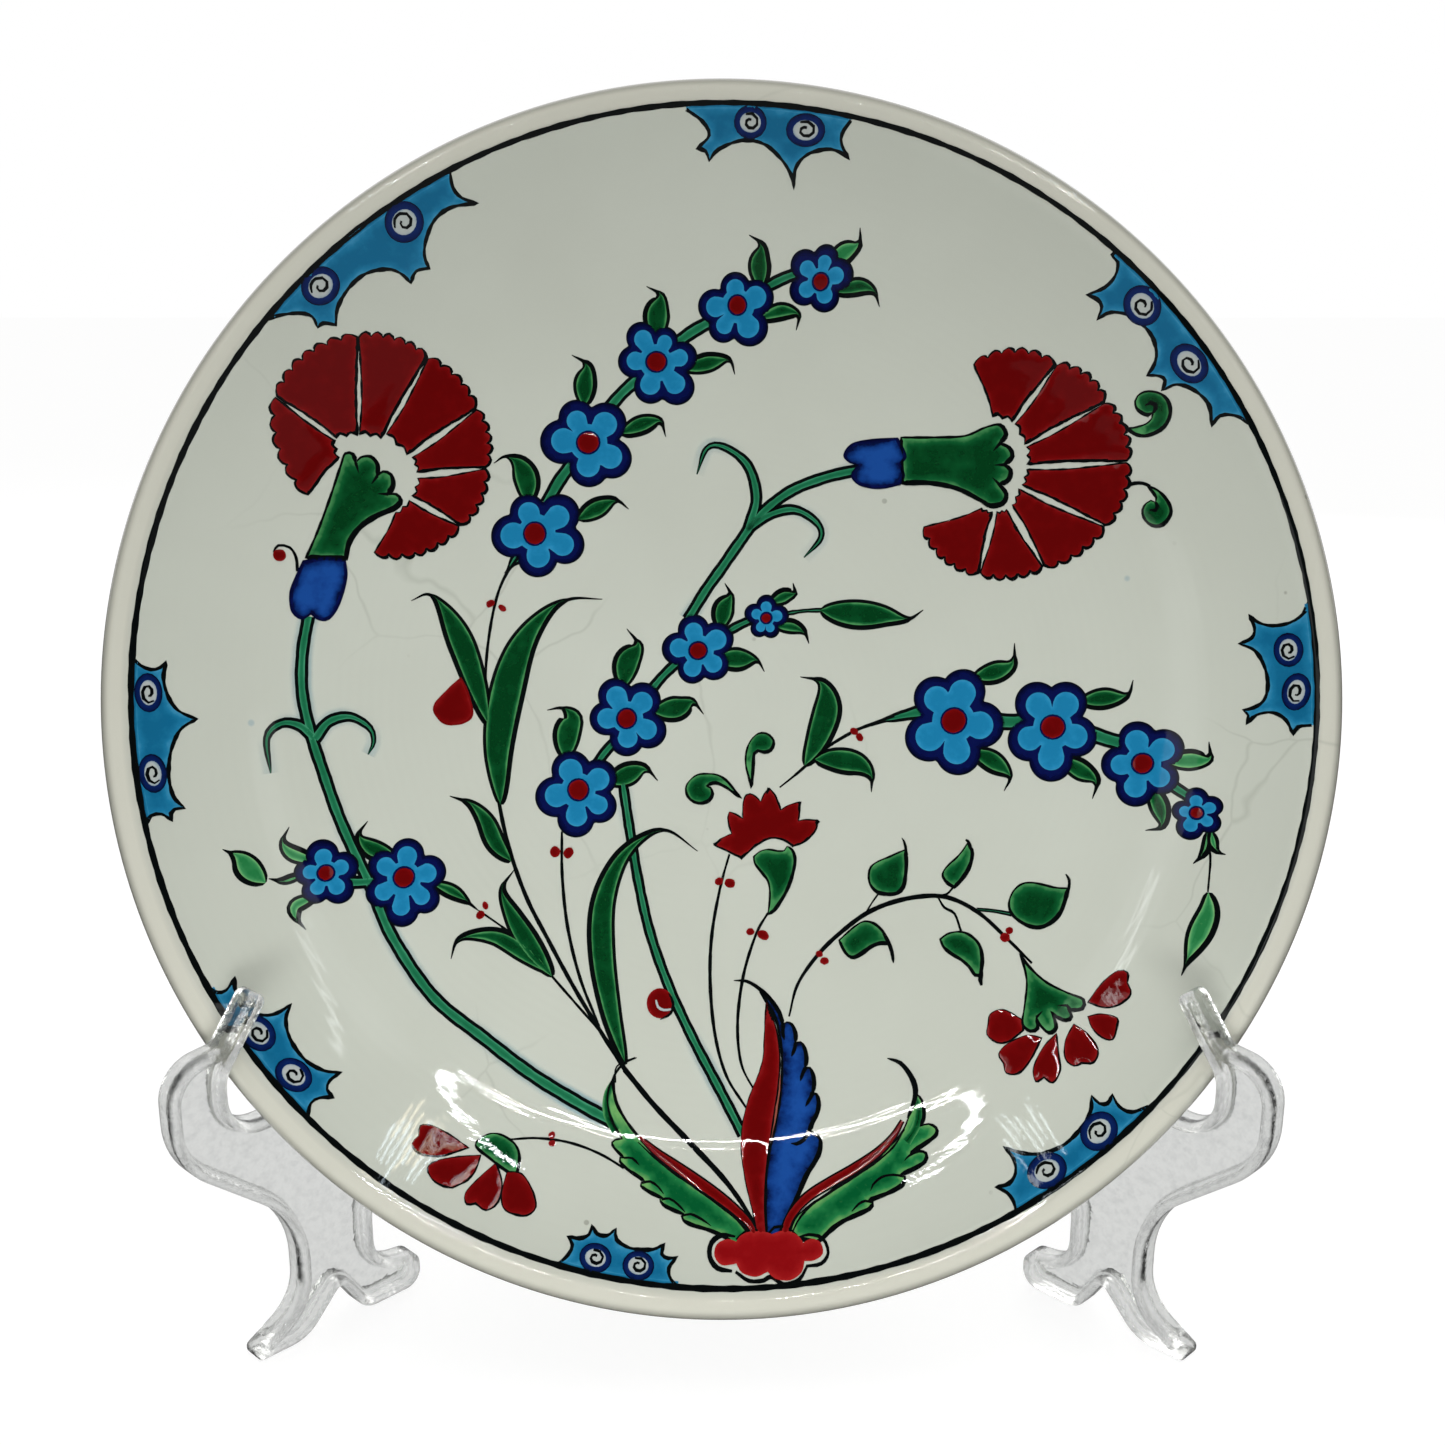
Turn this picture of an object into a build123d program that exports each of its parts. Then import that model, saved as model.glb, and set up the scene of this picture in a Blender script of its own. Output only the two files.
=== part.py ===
from build123d import *
import os
from math import asin, atan2, cos, hypot, radians, sin, sqrt, tan

# A painted ceramic dish, 30 cm across, on a folding stand of clear plastic.
# Millimetres, +Z up. The dish leans back and faces -Y, towards whoever looks at it.

# ---- dish: a shallow bowl turned on a wheel, with a round lip and a foot ring ----
dish_radius = 150.0
lip_thickness = 7.0
dish_depth = 28.0             # from the plane of the lip down to the floor
floor_radius = 80.0
floor_thickness = 6.0
foot_outer_radius = 86.0
foot_width = 9.0
foot_height = 4.0
foot_taper = 1.0              # how much each side of the foot ring draws in at its bottom
foot_edge = 0.8
lip_slope_width = 3.5         # the lip falls gently inwards before the wall starts
lip_slope_drop = 1.6

# ---- how the dish stands ----
dish_lean = 17.0              # degrees back from upright
dish_clearance = 21.0         # lowest point of the rim circle above the table
seat_gap = 0.3                # what the dish touches lies this close to it

# ---- stand: two moulded halves, a thin web inside a thick edge, hinged at the back ----
half_angle = 45.0             # each half turns this far out from the dish's middle line
hinge_to_dish = 84.8          # hinge axis behind the middle of the lip's plane
panel_width = 7.0             # across the edge flange
web_thickness = 2.0
flange_thickness = 2.4
panel_gap = 0.3               # from the hinge's own plane, so that the halves fold flat
edge_round = 1.0

hook_wall_height = 14.3       # the cradle's front wall, above its floor
hook_rise = 17.0              # the finger above that wall
hook_lean = 12.6              # how far the finger leans back over the dish
hook_thickness = 5.0
hook_tip_radius = 2.1
hook_reach = 11.1             # cradle's front wall in front of the lip's lowest point
cradle_radius = 8.4

shoulder_width = 14.9
shoulder_top = 20.5           # above the cradle's floor
shoulder_slope = 1.5          # the shoulder rises this much towards the finger
shoulder_drop = 4.3           # where the shoulder turns in, below the cradle's floor
shoulder_top_radius = 10.5
shoulder_radius = 21.0
shoulder_root_radius = 3.0

ankle_setback = 31.2          # the ankle's front, behind the shoulder's
ankle_width = 21.7
ankle_top = 35.0
ankle_radius = 26.0
instep_height = 10.5
instep_radius = 13.0
foot_length = 13.9            # the foot's tip in front of the ankle
foot_tip_height = 2.6
foot_tip_radius = 1.3
sole_length = 14.3
sole_radius = 11.0
notch_front = 10.6            # the small arch between the foot and the toe
notch_back = 7.1
notch_height = 11.0
notch_radius = 1.3
heel_radius = 6.0
toe_length = 17.6
toe_height = 9.2
toe_radius = 3.3
toe_sole_radius = 4.8
toe_top_radius = 9.0

arch_height = 41.0
arch_front_radius = 16.0
arch_back_radius = 38.0
rear_foot_length = 17.0
rear_foot_flare = 8.0
rear_foot_radius = 2.2

deck_drop = 7.7               # the bar between the legs, below the cradle's floor
deck_start = 20.0             # where that bar begins, behind the lip's lowest point
deck_radius = 22.0
throat_reach = 80.0           # the throat's corner, from the hinge
throat_radius = 44.0
upright_reach = 62.0
upright_knee = 118.0
upright_radius = 30.0
rest_rise = 43.6              # top of the flat pad that the dish leans on, above its middle
rest_length = 20.0
rest_relief = 6.0
rest_radius = 6.0
back_knee_drop = 56.0         # where the upright's back turns in, below the pad's top
upright_top_width = 17.0

# ---- hinge: each half has two moulded rings, and one loose pin runs through all four ----
knuckle_radius = 4.5
knuckle_height = 8.0
knuckle_gap = 0.3
knuckle_low = 20.0            # bottom of the left half's lower ring
knuckle_high = 120.0          # bottom of the left half's upper ring
knuckle_space = 1.0           # between a knuckle and the other half's panel
pin_radius = 2.1
pin_clearance = 0.05
pin_end = 1.5                 # the pin shows this much below the lowest ring
pin_head_radius = 3.4
pin_head_height = 1.8
pin_head_round = 0.7

level = 0.01                  # an edge runs along the panel while it turns less than this

lean = radians(dish_lean)
turn = radians(half_angle)
lip_radius = lip_thickness / 2
lip_circle = dish_radius - lip_radius
rim_height = dish_radius * cos(lean) + dish_clearance
base_depth = dish_depth + floor_thickness
panel_back = knuckle_radius + knuckle_space
rest_top = rim_height + rest_rise


def dish_profile():
    """Half section of the dish lying face up, lip at height 0, turned about Z."""
    wall_radius = lip_circle - lip_slope_width
    foot_depth = base_depth + foot_height
    foot_inner = foot_outer_radius - foot_width
    with BuildSketch(Plane.XZ) as section:
        with BuildLine():
            floor = Line((0, -dish_depth), (floor_radius, -dish_depth))
            wall = TangentArc(floor @ 1, (wall_radius, -lip_slope_drop), tangent=(1, 0))
            slope = Line(wall @ 1, (lip_circle, 0))
            lip = ThreePointArc(slope @ 1, (dish_radius, -lip_radius), (lip_circle, -lip_thickness))
            outer = TangentArc((foot_outer_radius, -base_depth), lip @ 1, tangent=(1, 0))
            foot = Polyline(
                outer @ 0,
                (foot_outer_radius - foot_taper, -foot_depth),
                (foot_inner + foot_taper, -foot_depth),
                (foot_inner, -base_depth),
                (0, -base_depth),
                floor @ 0,
            )
        make_face()
    return section.sketch


def make_dish():
    dish = revolve(dish_profile(), Axis.Z)
    dish = fillet(dish.edges().filter_by(GeomType.CIRCLE).group_by(Axis.Z)[0], foot_edge)
    tilt = Location((0, 0, rim_height), (90 - dish_lean, 0, 0))
    return tilt * dish


def lip_seat():
    """Lowest point of the lip over a panel's inner face, as (reach, height)."""
    # the lip is a ring of round section; its centre lies one lip radius behind the rim plane
    ring_y = lip_radius * cos(lean)
    ring_z = rim_height - lip_radius * sin(lean)
    normal = (-cos(turn), sin(turn))
    along = (-sin(turn), -cos(turn))
    # where the ring's centre line crosses the panel's inner face, as an angle from its lowest point
    target = normal[1] * (hinge_to_dish - ring_y) + panel_gap
    across = -normal[0] * lip_circle
    down = -normal[1] * lip_circle * sin(lean)
    angle = asin(target / hypot(across, down)) - atan2(down, across)
    x = -lip_circle * sin(angle)
    y = ring_y - lip_circle * cos(angle) * sin(lean)
    z = ring_z - lip_circle * cos(angle) * cos(lean)
    run = (-cos(angle), sin(angle) * sin(lean), sin(angle) * cos(lean))
    run_along = run[0] * along[0] + run[1] * along[1]
    run_normal = run[0] * normal[0] + run[1] * normal[1]
    sag = lip_radius * sqrt(1 - run_along**2) / abs(run_normal)
    shift = -sag * run_along * run[2] / (1 - run_along**2)
    reach = x * along[0] + (y - hinge_to_dish) * along[1]
    return reach + shift, z - sag


def rest_reach(height):
    """Reach at which a panel's inner face meets the dish's back at a height, less the gap."""
    back_y = (height - rim_height) * tan(lean) + (base_depth + seat_gap) / cos(lean)
    return (hinge_to_dish - back_y + panel_gap * sin(turn)) / cos(turn)


def half_outline():
    """Corners of one stand half in its own plane: reach from the hinge, height, radius."""
    seat_reach, lip_bottom = lip_seat()
    floor = lip_bottom - seat_gap
    wall = seat_reach + hook_reach
    wall_top = floor + hook_wall_height
    finger = hypot(hook_lean, hook_rise)
    back, up = hook_lean / finger, hook_rise / finger
    tip = (wall - hook_lean, wall_top + hook_rise)
    tip_front = (tip[0] + hook_thickness * up, tip[1] + hook_thickness * back)
    root_height = floor + shoulder_top + shoulder_slope
    root_reach = tip_front[0] + (tip_front[1] - root_height) * hook_lean / hook_rise
    front = wall + shoulder_width
    deck = floor - deck_drop
    deck_reach = seat_reach - deck_start
    rest_bottom = rest_top - rest_length
    rear_foot = panel_back + rear_foot_length
    ankle_front = front - ankle_setback
    ankle_back = ankle_front - ankle_width
    foot_reach = ankle_front + foot_length
    sole_reach = foot_reach - sole_length
    notch_reach = sole_reach - notch_front
    heel_reach = notch_reach - notch_back
    toe_reach = heel_reach - toe_length
    return [
        (*tip_front, hook_tip_radius),
        (*tip, hook_tip_radius),
        (wall, wall_top, cradle_radius),
        (wall, floor, cradle_radius),
        (seat_reach - cradle_radius, floor, cradle_radius),
        (deck_reach, deck, deck_radius),
        (throat_reach, deck, throat_radius),
        (upright_reach, upright_knee, upright_radius),
        (rest_reach(rest_bottom) - rest_relief, rest_bottom - rest_relief, rest_radius),
        (rest_reach(rest_bottom), rest_bottom, rest_radius),
        (rest_reach(rest_top), rest_top, rest_radius),
        (rest_reach(rest_top) - upright_top_width, rest_top, rest_radius),
        (panel_back, rest_top - back_knee_drop, upright_radius),
        (panel_back, 0, rear_foot_radius),
        (rear_foot, 0, rear_foot_radius),
        (rear_foot + rear_foot_flare, arch_height, arch_back_radius),
        (ankle_back, arch_height, arch_front_radius),
        (ankle_back, toe_height + rear_foot_radius, toe_top_radius),
        (toe_reach, toe_height, toe_radius),
        (toe_reach, 0, toe_sole_radius),
        (heel_reach, 0, heel_radius),
        (notch_reach, notch_height, notch_radius),
        (sole_reach, 0, sole_radius),
        (foot_reach, 0, foot_tip_radius),
        (foot_reach, foot_tip_height, foot_tip_radius),
        (ankle_front, instep_height, instep_radius),
        (ankle_front, ankle_top, ankle_radius),
        (front, floor - shoulder_drop, shoulder_radius),
        (front, floor + shoulder_top, shoulder_top_radius),
        (root_reach, root_height, shoulder_root_radius),
    ]


def make_panel():
    """One half's moulded panel in its own frame: X is reach, Z height, Y away from the hinge's plane."""
    corners = half_outline()
    points = [(reach, height) for reach, height, radius in corners]
    radii = [radius for reach, height, radius in corners]
    plane = Plane.XZ.offset(-panel_gap)
    outline = FilletPolyline(*points, radius=radii, close=True)
    face = make_face(outline)
    solid = extrude(plane * face, -panel_width)
    rims = solid.edges().filter_by(lambda e: abs(e.tangent_at(0.5).Y) < level)
    solid = fillet(rims, edge_round)
    inner = offset(face, amount=-flange_thickness, kind=Kind.INTERSECTION)
    pocket_depth = (panel_width - web_thickness) / 2
    near = extrude(plane * inner, -pocket_depth)
    far = extrude(Plane.XZ.offset(-panel_gap - panel_width) * inner, pocket_depth)
    return solid - near - far


def make_ring(height):
    """A round knuckle on the hinge axis with the arm that joins it to the panel."""
    base = (Align.CENTER, Align.CENTER, Align.MIN)
    barrel = Cylinder(knuckle_radius, knuckle_height, align=base)
    arm = Box(
        panel_back + flange_thickness / 2,
        knuckle_radius - panel_gap,
        knuckle_height,
        align=(Align.MIN, Align.MIN, Align.MIN),
    )
    bore = Cylinder(pin_radius + pin_clearance, knuckle_height, align=base)
    return Pos(0, 0, height) * (barrel + Pos(0, panel_gap, 0) * arm - bore)


def make_half(ring_heights):
    """A stand half in its open place on the right of the dish."""
    half = make_panel()
    for height in ring_heights:
        half += make_ring(height)
    return Pos(0, hinge_to_dish, 0) * Rotation(0, 0, half_angle - 90) * half


def make_hinge_pin():
    """A round pin with a flat head, dropped in from above."""
    bottom = knuckle_low - pin_end
    top = knuckle_high + 2 * (knuckle_height + knuckle_gap)
    base = (Align.CENTER, Align.CENTER, Align.MIN)
    shank = Pos(0, 0, bottom) * Cylinder(pin_radius, top - bottom, align=base)
    head = Cylinder(pin_head_radius, pin_head_height, align=base)
    head = fillet(head.edges().group_by(Axis.Z)[-1], pin_head_round)
    return Pos(0, hinge_to_dish, 0) * (shank + Pos(0, 0, top) * head)


left_rings = (knuckle_low, knuckle_high)
right_rings = [height + knuckle_height + knuckle_gap for height in left_rings]

parts = {
    "dish": make_dish(),
    "stand_left_half": mirror(make_half(left_rings), about=Plane.YZ),
    "stand_right_half": make_half(right_rings),
    "hinge_pin": make_hinge_pin(),
}
whole = Compound(list(parts.values())).bounding_box()
origin = Pos(-whole.center().X, -whole.center().Y, -whole.min.Z)

os.makedirs("parts", exist_ok=True)
for name, shape in parts.items():
    export_step(origin * shape, f"parts/{name}.step")

hinge_axis = origin * Pos(0, hinge_to_dish, 0)
print("hinge axis", [round(v, 3) for v in hinge_axis.position])
print("middle of the rim plane", [round(v, 3) for v in (origin * Pos(0, 0, rim_height)).position])
print("size", [round(v, 1) for v in whole.size])
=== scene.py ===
import random
from math import atan2, cos, hypot, pi, radians, sin, sqrt

import bmesh
import bpy
from mathutils import Matrix, Vector
from mathutils.geometry import delaunay_2d_cdt


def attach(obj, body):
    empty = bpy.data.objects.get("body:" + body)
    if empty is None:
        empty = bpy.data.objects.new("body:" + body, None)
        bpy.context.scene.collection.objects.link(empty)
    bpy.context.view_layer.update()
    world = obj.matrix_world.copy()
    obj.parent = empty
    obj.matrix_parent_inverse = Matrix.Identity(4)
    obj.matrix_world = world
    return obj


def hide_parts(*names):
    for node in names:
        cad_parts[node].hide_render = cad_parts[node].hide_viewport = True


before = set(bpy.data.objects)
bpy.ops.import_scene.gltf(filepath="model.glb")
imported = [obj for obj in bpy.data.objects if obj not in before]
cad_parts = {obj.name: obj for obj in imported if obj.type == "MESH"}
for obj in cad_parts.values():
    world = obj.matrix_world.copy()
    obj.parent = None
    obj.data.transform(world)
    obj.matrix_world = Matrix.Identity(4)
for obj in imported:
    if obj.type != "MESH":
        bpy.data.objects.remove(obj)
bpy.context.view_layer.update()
mm = 0.001

# Painted sizes are in millimetres on the face of the dish: x to the right, y up the dish, from its middle.
dishShape = {
    "middle": (0.0, -0.023157, 0.164446),  # middle of the lip's plane, in metres
    "leanBack": 17.0,
    "radius": 150.0,
    "lipRadius": 3.5,
    "depth": 28.0,
    "floorRadius": 80.0,
    "lipSlopeWidth": 3.5,
    "lipSlopeDrop": 1.6,
    "floorThickness": 6.0,
    "footOuter": 86.0,
    "footWidth": 9.0,
    "footHeight": 4.0,
    "footTaper": 1.0,
    "footEdge": 0.8,
    "floorStops": (20, 40, 60, 72),  # radii at which the flat floor is cut
    "backStops": (50.0, 25.0, 0.0),  # and the same on its back
    "wallSteps": 34,
    "lipSteps": 16,
    "backSteps": 24,
    "turns": 288,  # steps round the dish
    "smoothAngle": 40,
}
dishTilt = radians(90 - dishShape["leanBack"])
dishPlace = Matrix.Translation(dishShape["middle"]) @ Matrix.Rotation(dishTilt, 4, "X")


def deselectAll():
    if bpy.context.mode != "OBJECT":
        bpy.ops.object.mode_set(mode="OBJECT")
    bpy.ops.object.select_all(action="DESELECT")


def smoothShade(piece, angle):
    deselectAll()
    piece.select_set(True)
    bpy.context.view_layer.objects.active = piece
    bpy.ops.object.shade_smooth_by_angle(angle=radians(angle))


class Wire:
    # a number that changes over a surface, so that shader maths reads like plain maths
    def __init__(self, finish, socket):
        self.finish = finish
        self.socket = socket

    def maths(self, operation, first, second=0.0):
        out = self.finish.node("ShaderNodeMath", {"operation": operation}, {0: first, 1: second}).outputs[0]
        return Wire(self.finish, out)

    def __add__(self, other):
        return self.maths("ADD", self, other)

    def __sub__(self, other):
        return self.maths("SUBTRACT", self, other)

    def __rsub__(self, other):
        return self.maths("SUBTRACT", other, self)

    def __mul__(self, other):
        return self.maths("MULTIPLY", self, other)

    def __pow__(self, other):
        return self.maths("POWER", self, other)

    def wave(self):
        return self.maths("SINE", self)

    def clipped(self):
        return self.maths("MAXIMUM", self.maths("MINIMUM", self, 1.0), 0.0)

    __radd__ = __add__
    __rmul__ = __mul__


class Finish:
    # one material and the nodes in it
    def __init__(self, name):
        self.material = bpy.data.materials.new(name)
        self.material.use_nodes = True
        self.tree = self.material.node_tree
        self.tree.nodes.clear()

    def node(self, kind, settings=None, values=None):
        made = self.tree.nodes.new(kind)
        for key, value in (settings or {}).items():
            if key == "stops":
                ramp = made.color_ramp
                while len(ramp.elements) < len(value):
                    ramp.elements.new(0.5)
                for element, (place, shade) in zip(ramp.elements, value):
                    element.position = place
                    element.color = (*shade, 1.0)
            else:
                setattr(made, key, value)
        for key, value in (values or {}).items():
            if isinstance(value, Wire):
                value = value.socket
            if isinstance(value, bpy.types.NodeSocket):
                self.tree.links.new(value, made.inputs[key])
            else:
                made.inputs[key].default_value = value
        return made

    def number(self, kind, settings=None, values=None, output=0):
        return Wire(self, self.node(kind, settings, values).outputs[output])

    def place(self):
        # position on the dish's own axes, in metres
        coords = self.node("ShaderNodeTexCoord").outputs["Object"]
        return self.node(
            "ShaderNodeMapping",
            {"vector_type": "TEXTURE"},
            {"Vector": coords, "Location": dishShape["middle"], "Rotation": (dishTilt, 0, 0)},
        ).outputs[0]

    def noise(self, where, scale, detail=2.0, roughness=0.5):
        values = {"Vector": where, "Scale": scale, "Detail": detail, "Roughness": roughness}
        return self.number("ShaderNodeTexNoise", None, values)

    def blend(self, factor, first, second):
        mix = self.node("ShaderNodeMix", {"data_type": "RGBA"}, {0: factor, 6: first, 7: second})
        return mix.outputs[2]

    def surface(self, shader):
        self.tree.links.new(shader.outputs[0], self.node("ShaderNodeOutputMaterial").inputs["Surface"])
        return self.material


def colour(red, green, blue):
    return (red, green, blue, 1.0)


glaze = {
    "body": colour(0.690, 0.728, 0.652),
    "bodyShade": colour(0.592, 0.620, 0.548),
    "bodyClouds": (14.0, 3.0, 0.55),  # fineness, detail and roughness of the noise between the two
    "lip": colour(0.680, 0.676, 0.592),
    # painted shade for the two turns of the lip
    "lipPaintedShade": colour(0.330, 0.330, 0.285),
    "lipShare": 0.9,
    "lipStart": 0.1425,  # metres from the middle
    "innerTurn": 0.1448,  # inside this and outside the next the lip turns away
    "outerTurn": 0.1474,
    "innerShare": 0.45,  # how dark the painted shade of the inner turn is against the outer
    "lipEdge": 500.0,  # how sharply the lip's colour and the painted shade of its two turns set in
    "innerEdge": 480.0,
    "outerEdge": 420.0,
    "spotEdge": 60.0,  # and how sharply specks and drops do, and the patches that hold specks and crackle
    "patchEdge": 12.0,
    "speck": colour(0.22, 0.22, 0.18),
    "speckScale": 70.0,
    "speckSize": 0.055,
    "speckShare": 0.55,
    "speckPatches": (60.0, 0.0, 0.58),  # fineness, detail and least strength of the noise
    "crackle": colour(0.30, 0.33, 0.27),
    "crackleScale": 22.0,
    "crackleWidth": 0.011,
    "crackleEdge": 90.0,
    "crackleShare": 0.26,
    "cracklePatches": (11.0, 1.0, 0.56),
    "crackleBend": 0.018,
    "bendScale": 30.0,
    "bendDetail": 3.0,
    "drop": colour(0.20, 0.36, 0.44),  # blue that dripped off the brush
    "dropScale": 34.0,
    "dropSize": 0.035,
    "dropShare": 0.45,
    "ringPitch": 2400.0,  # the turning rings, in radians a metre
    "ringWaver": 5.0,
    "waverScale": 20.0,
    "ringHeight": 0.05,
    "ripple": (38.0, 2.0, 0.4),  # fineness, detail and roughness
    "bumpStrength": 0.25,
    "bumpHeight": 0.0006,
    "roughness": 0.03,
    "coat": 0.6,
    "coatRoughness": 0.012,
}


def glazeNormal(finish, where, relief):
    # the slow ripple of the glaze, with what stands in relief on it
    height = finish.noise(where, *glaze["ripple"]) + relief
    values = {"Strength": glaze["bumpStrength"], "Distance": glaze["bumpHeight"], "Height": height}
    return finish.node("ShaderNodeBump", None, values).outputs[0]


def glazedSurface(finish, values):
    # every colour of the dish lies under the same clear coat
    coat = {
        "Roughness": glaze["roughness"],
        "Coat Weight": glaze["coat"],
        "Coat Roughness": glaze["coatRoughness"],
    }
    return finish.surface(finish.node("ShaderNodeBsdfPrincipled", None, {**coat, **values}))


def makeGlaze():
    finish = Finish("clearGlazeOverSlip")
    where = finish.place()
    parts = finish.node("ShaderNodeSeparateXYZ", None, {0: where})
    x, y = Wire(finish, parts.outputs[0]), Wire(finish, parts.outputs[1])
    radius = (x * x + y * y) ** 0.5

    def near(spots, scale, reach, sharp=glaze["spotEdge"], feature="F1"):
        # 1 at the points or the edges of scattered cells, 0 beyond their reach
        gap = finish.number("ShaderNodeTexVoronoi", {"feature": feature}, {"Vector": spots, "Scale": scale})
        return ((reach - gap) * sharp).clipped()

    def patches(scale, detail, least):
        return ((finish.noise(where, scale, detail) - least) * glaze["patchEdge"]).clipped()

    body = finish.blend(finish.noise(where, *glaze["bodyClouds"]), glaze["bodyShade"], glaze["body"])
    lipMask = ((radius - glaze["lipStart"]) * glaze["lipEdge"]).clipped()
    body = finish.blend(lipMask * glaze["lipShare"], body, glaze["lip"])
    # painted shade: the lip is greyed where it turns away from the light, inside and outside its crest
    outer = ((radius - glaze["outerTurn"]) * glaze["outerEdge"]).clipped()
    inner = ((glaze["innerTurn"] - radius) * glaze["innerEdge"]).clipped()
    turnShade = (outer + inner * glaze["innerShare"]).clipped() * lipMask
    body = finish.blend(turnShade, body, glaze["lipPaintedShade"])
    speck = near(where, glaze["speckScale"], glaze["speckSize"]) * patches(*glaze["speckPatches"])
    body = finish.blend(speck * glaze["speckShare"], body, glaze["speck"])
    # the crackle is bent a little, or its cells would have straight sides
    sockets = {"Vector": where, "Scale": glaze["bendScale"], "Detail": glaze["bendDetail"]}
    bent = finish.node("ShaderNodeTexNoise", None, sockets)
    sockets = {0: glaze["crackleBend"], 4: where, 5: bent.outputs["Color"]}
    bent = finish.node("ShaderNodeMix", {"data_type": "VECTOR"}, sockets).outputs[1]
    size, width, sharp = glaze["crackleScale"], glaze["crackleWidth"], glaze["crackleEdge"]
    crackle = near(bent, size, width, sharp, "DISTANCE_TO_EDGE") * patches(*glaze["cracklePatches"])
    body = finish.blend(crackle * glaze["crackleShare"], body, glaze["crackle"])
    drops = near(where, glaze["dropScale"], glaze["dropSize"])
    body = finish.blend(drops * glaze["dropShare"], body, glaze["drop"])
    waver = finish.noise(where, glaze["waverScale"]) * glaze["ringWaver"]
    rings = (radius * glaze["ringPitch"] + waver).wave() * glaze["ringHeight"]
    return glazedSurface(finish, {"Base Color": body, "Normal": glazeNormal(finish, where, rings)})


plastic = {
    "tint": colour(0.80, 0.81, 0.795),
    "grainTint": colour(0.70, 0.71, 0.70),
    "index": 1.5,
    "roughness": 0.05,
    "softEdge": 0.0022,
    "softSamples": 6,
    "grain": (420.0, 2.0, 0.6),  # fineness, detail and roughness
    "grainStart": 0.46,  # where between low and high grain its tint sets in, and how sharply
    "grainEdge": 5.0,
    "grainRelief": 0.5,
    "grainHeight": 0.0005,
}


def makePlastic():
    finish = Finish("clearMouldedPlastic")
    settings = {"samples": plastic["softSamples"]}
    soft = finish.node("ShaderNodeBevel", settings, {"Radius": plastic["softEdge"]})
    grain = finish.noise(finish.place(), *plastic["grain"])
    grainMask = ((grain - plastic["grainStart"]) * plastic["grainEdge"]).clipped()
    tint = finish.blend(grainMask, plastic["tint"], plastic["grainTint"])
    relief = {
        "Strength": plastic["grainRelief"],
        "Distance": plastic["grainHeight"],
        "Height": grain,
        "Normal": soft.outputs[0],
    }
    bump = finish.node("ShaderNodeBump", None, relief)
    shader = finish.node(
        "ShaderNodeBsdfPrincipled",
        None,
        {
            "Base Color": tint,
            "Roughness": plastic["roughness"],
            "IOR": plastic["index"],
            "Transmission Weight": 1.0,
            "Normal": bump.outputs[0],
        },
    )
    return finish.surface(shader)


# groups of three are the fineness, detail and roughness of a noise
wear = {
    "rub": (900.0, 2.0, 0.7),  # fine spots where a pigment is rubbed pale
    "rubStart": 0.62,
    "rubEdge": 2.0,
    "rubShare": 0.35,
    "cloudDetail": 3.0,
    "cloudRoughness": 0.6,
    "cloudHeight": 0.12,
    "lumps": (170.0, 1.0, 0.4),
    "bleedTint": colour(0.22, 0.52, 0.64),
    "bleed": (28.0, 2.0, 0.5),
    "bleedStart": 0.42,
    "bleedEdge": 3.0,
    "bleedFade": 1.6,  # above 1 it fades early towards its border
    "bleedShare": 0.5,
}


def makePigment(name, deep, middle, pale, paleFrom, grain, streak, relief):
    finish = Finish(name)
    where = finish.place()
    depth = finish.number("ShaderNodeAttribute", {"attribute_name": "depth"}, None, 2)
    cloud = finish.noise(where, streak, wear["cloudDetail"], wear["cloudRoughness"])
    strength = (depth + (cloud - 0.5) * grain * 2.0).clipped()
    stops = [(0.0, pale), (paleFrom, middle), (1.0, deep)]
    ramp = finish.node("ShaderNodeValToRGB", {"stops": stops}, {0: strength})
    rubbed = ((finish.noise(where, *wear["rub"]) - wear["rubStart"]) * wear["rubEdge"]).clipped()
    tone = finish.blend(rubbed * wear["rubShare"], ramp.outputs[0], colour(*pale))
    lumps = cloud * wear["cloudHeight"] + finish.noise(where, *wear["lumps"]) * relief
    return glazedSurface(finish, {"Base Color": tone, "Normal": glazeNormal(finish, where, lumps)})


def makeBleed():
    # colour that ran into the glaze beside a stem
    finish = Finish("bluishBleed")
    depth = finish.number("ShaderNodeAttribute", {"attribute_name": "depth"}, None, 2)
    patch = finish.noise(finish.place(), *wear["bleed"])
    patch = ((patch - wear["bleedStart"]) * wear["bleedEdge"]).clipped()
    amount = depth ** wear["bleedFade"] * patch * wear["bleedShare"]
    return glazedSurface(finish, {"Base Color": wear["bleedTint"], "Alpha": amount})


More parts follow.
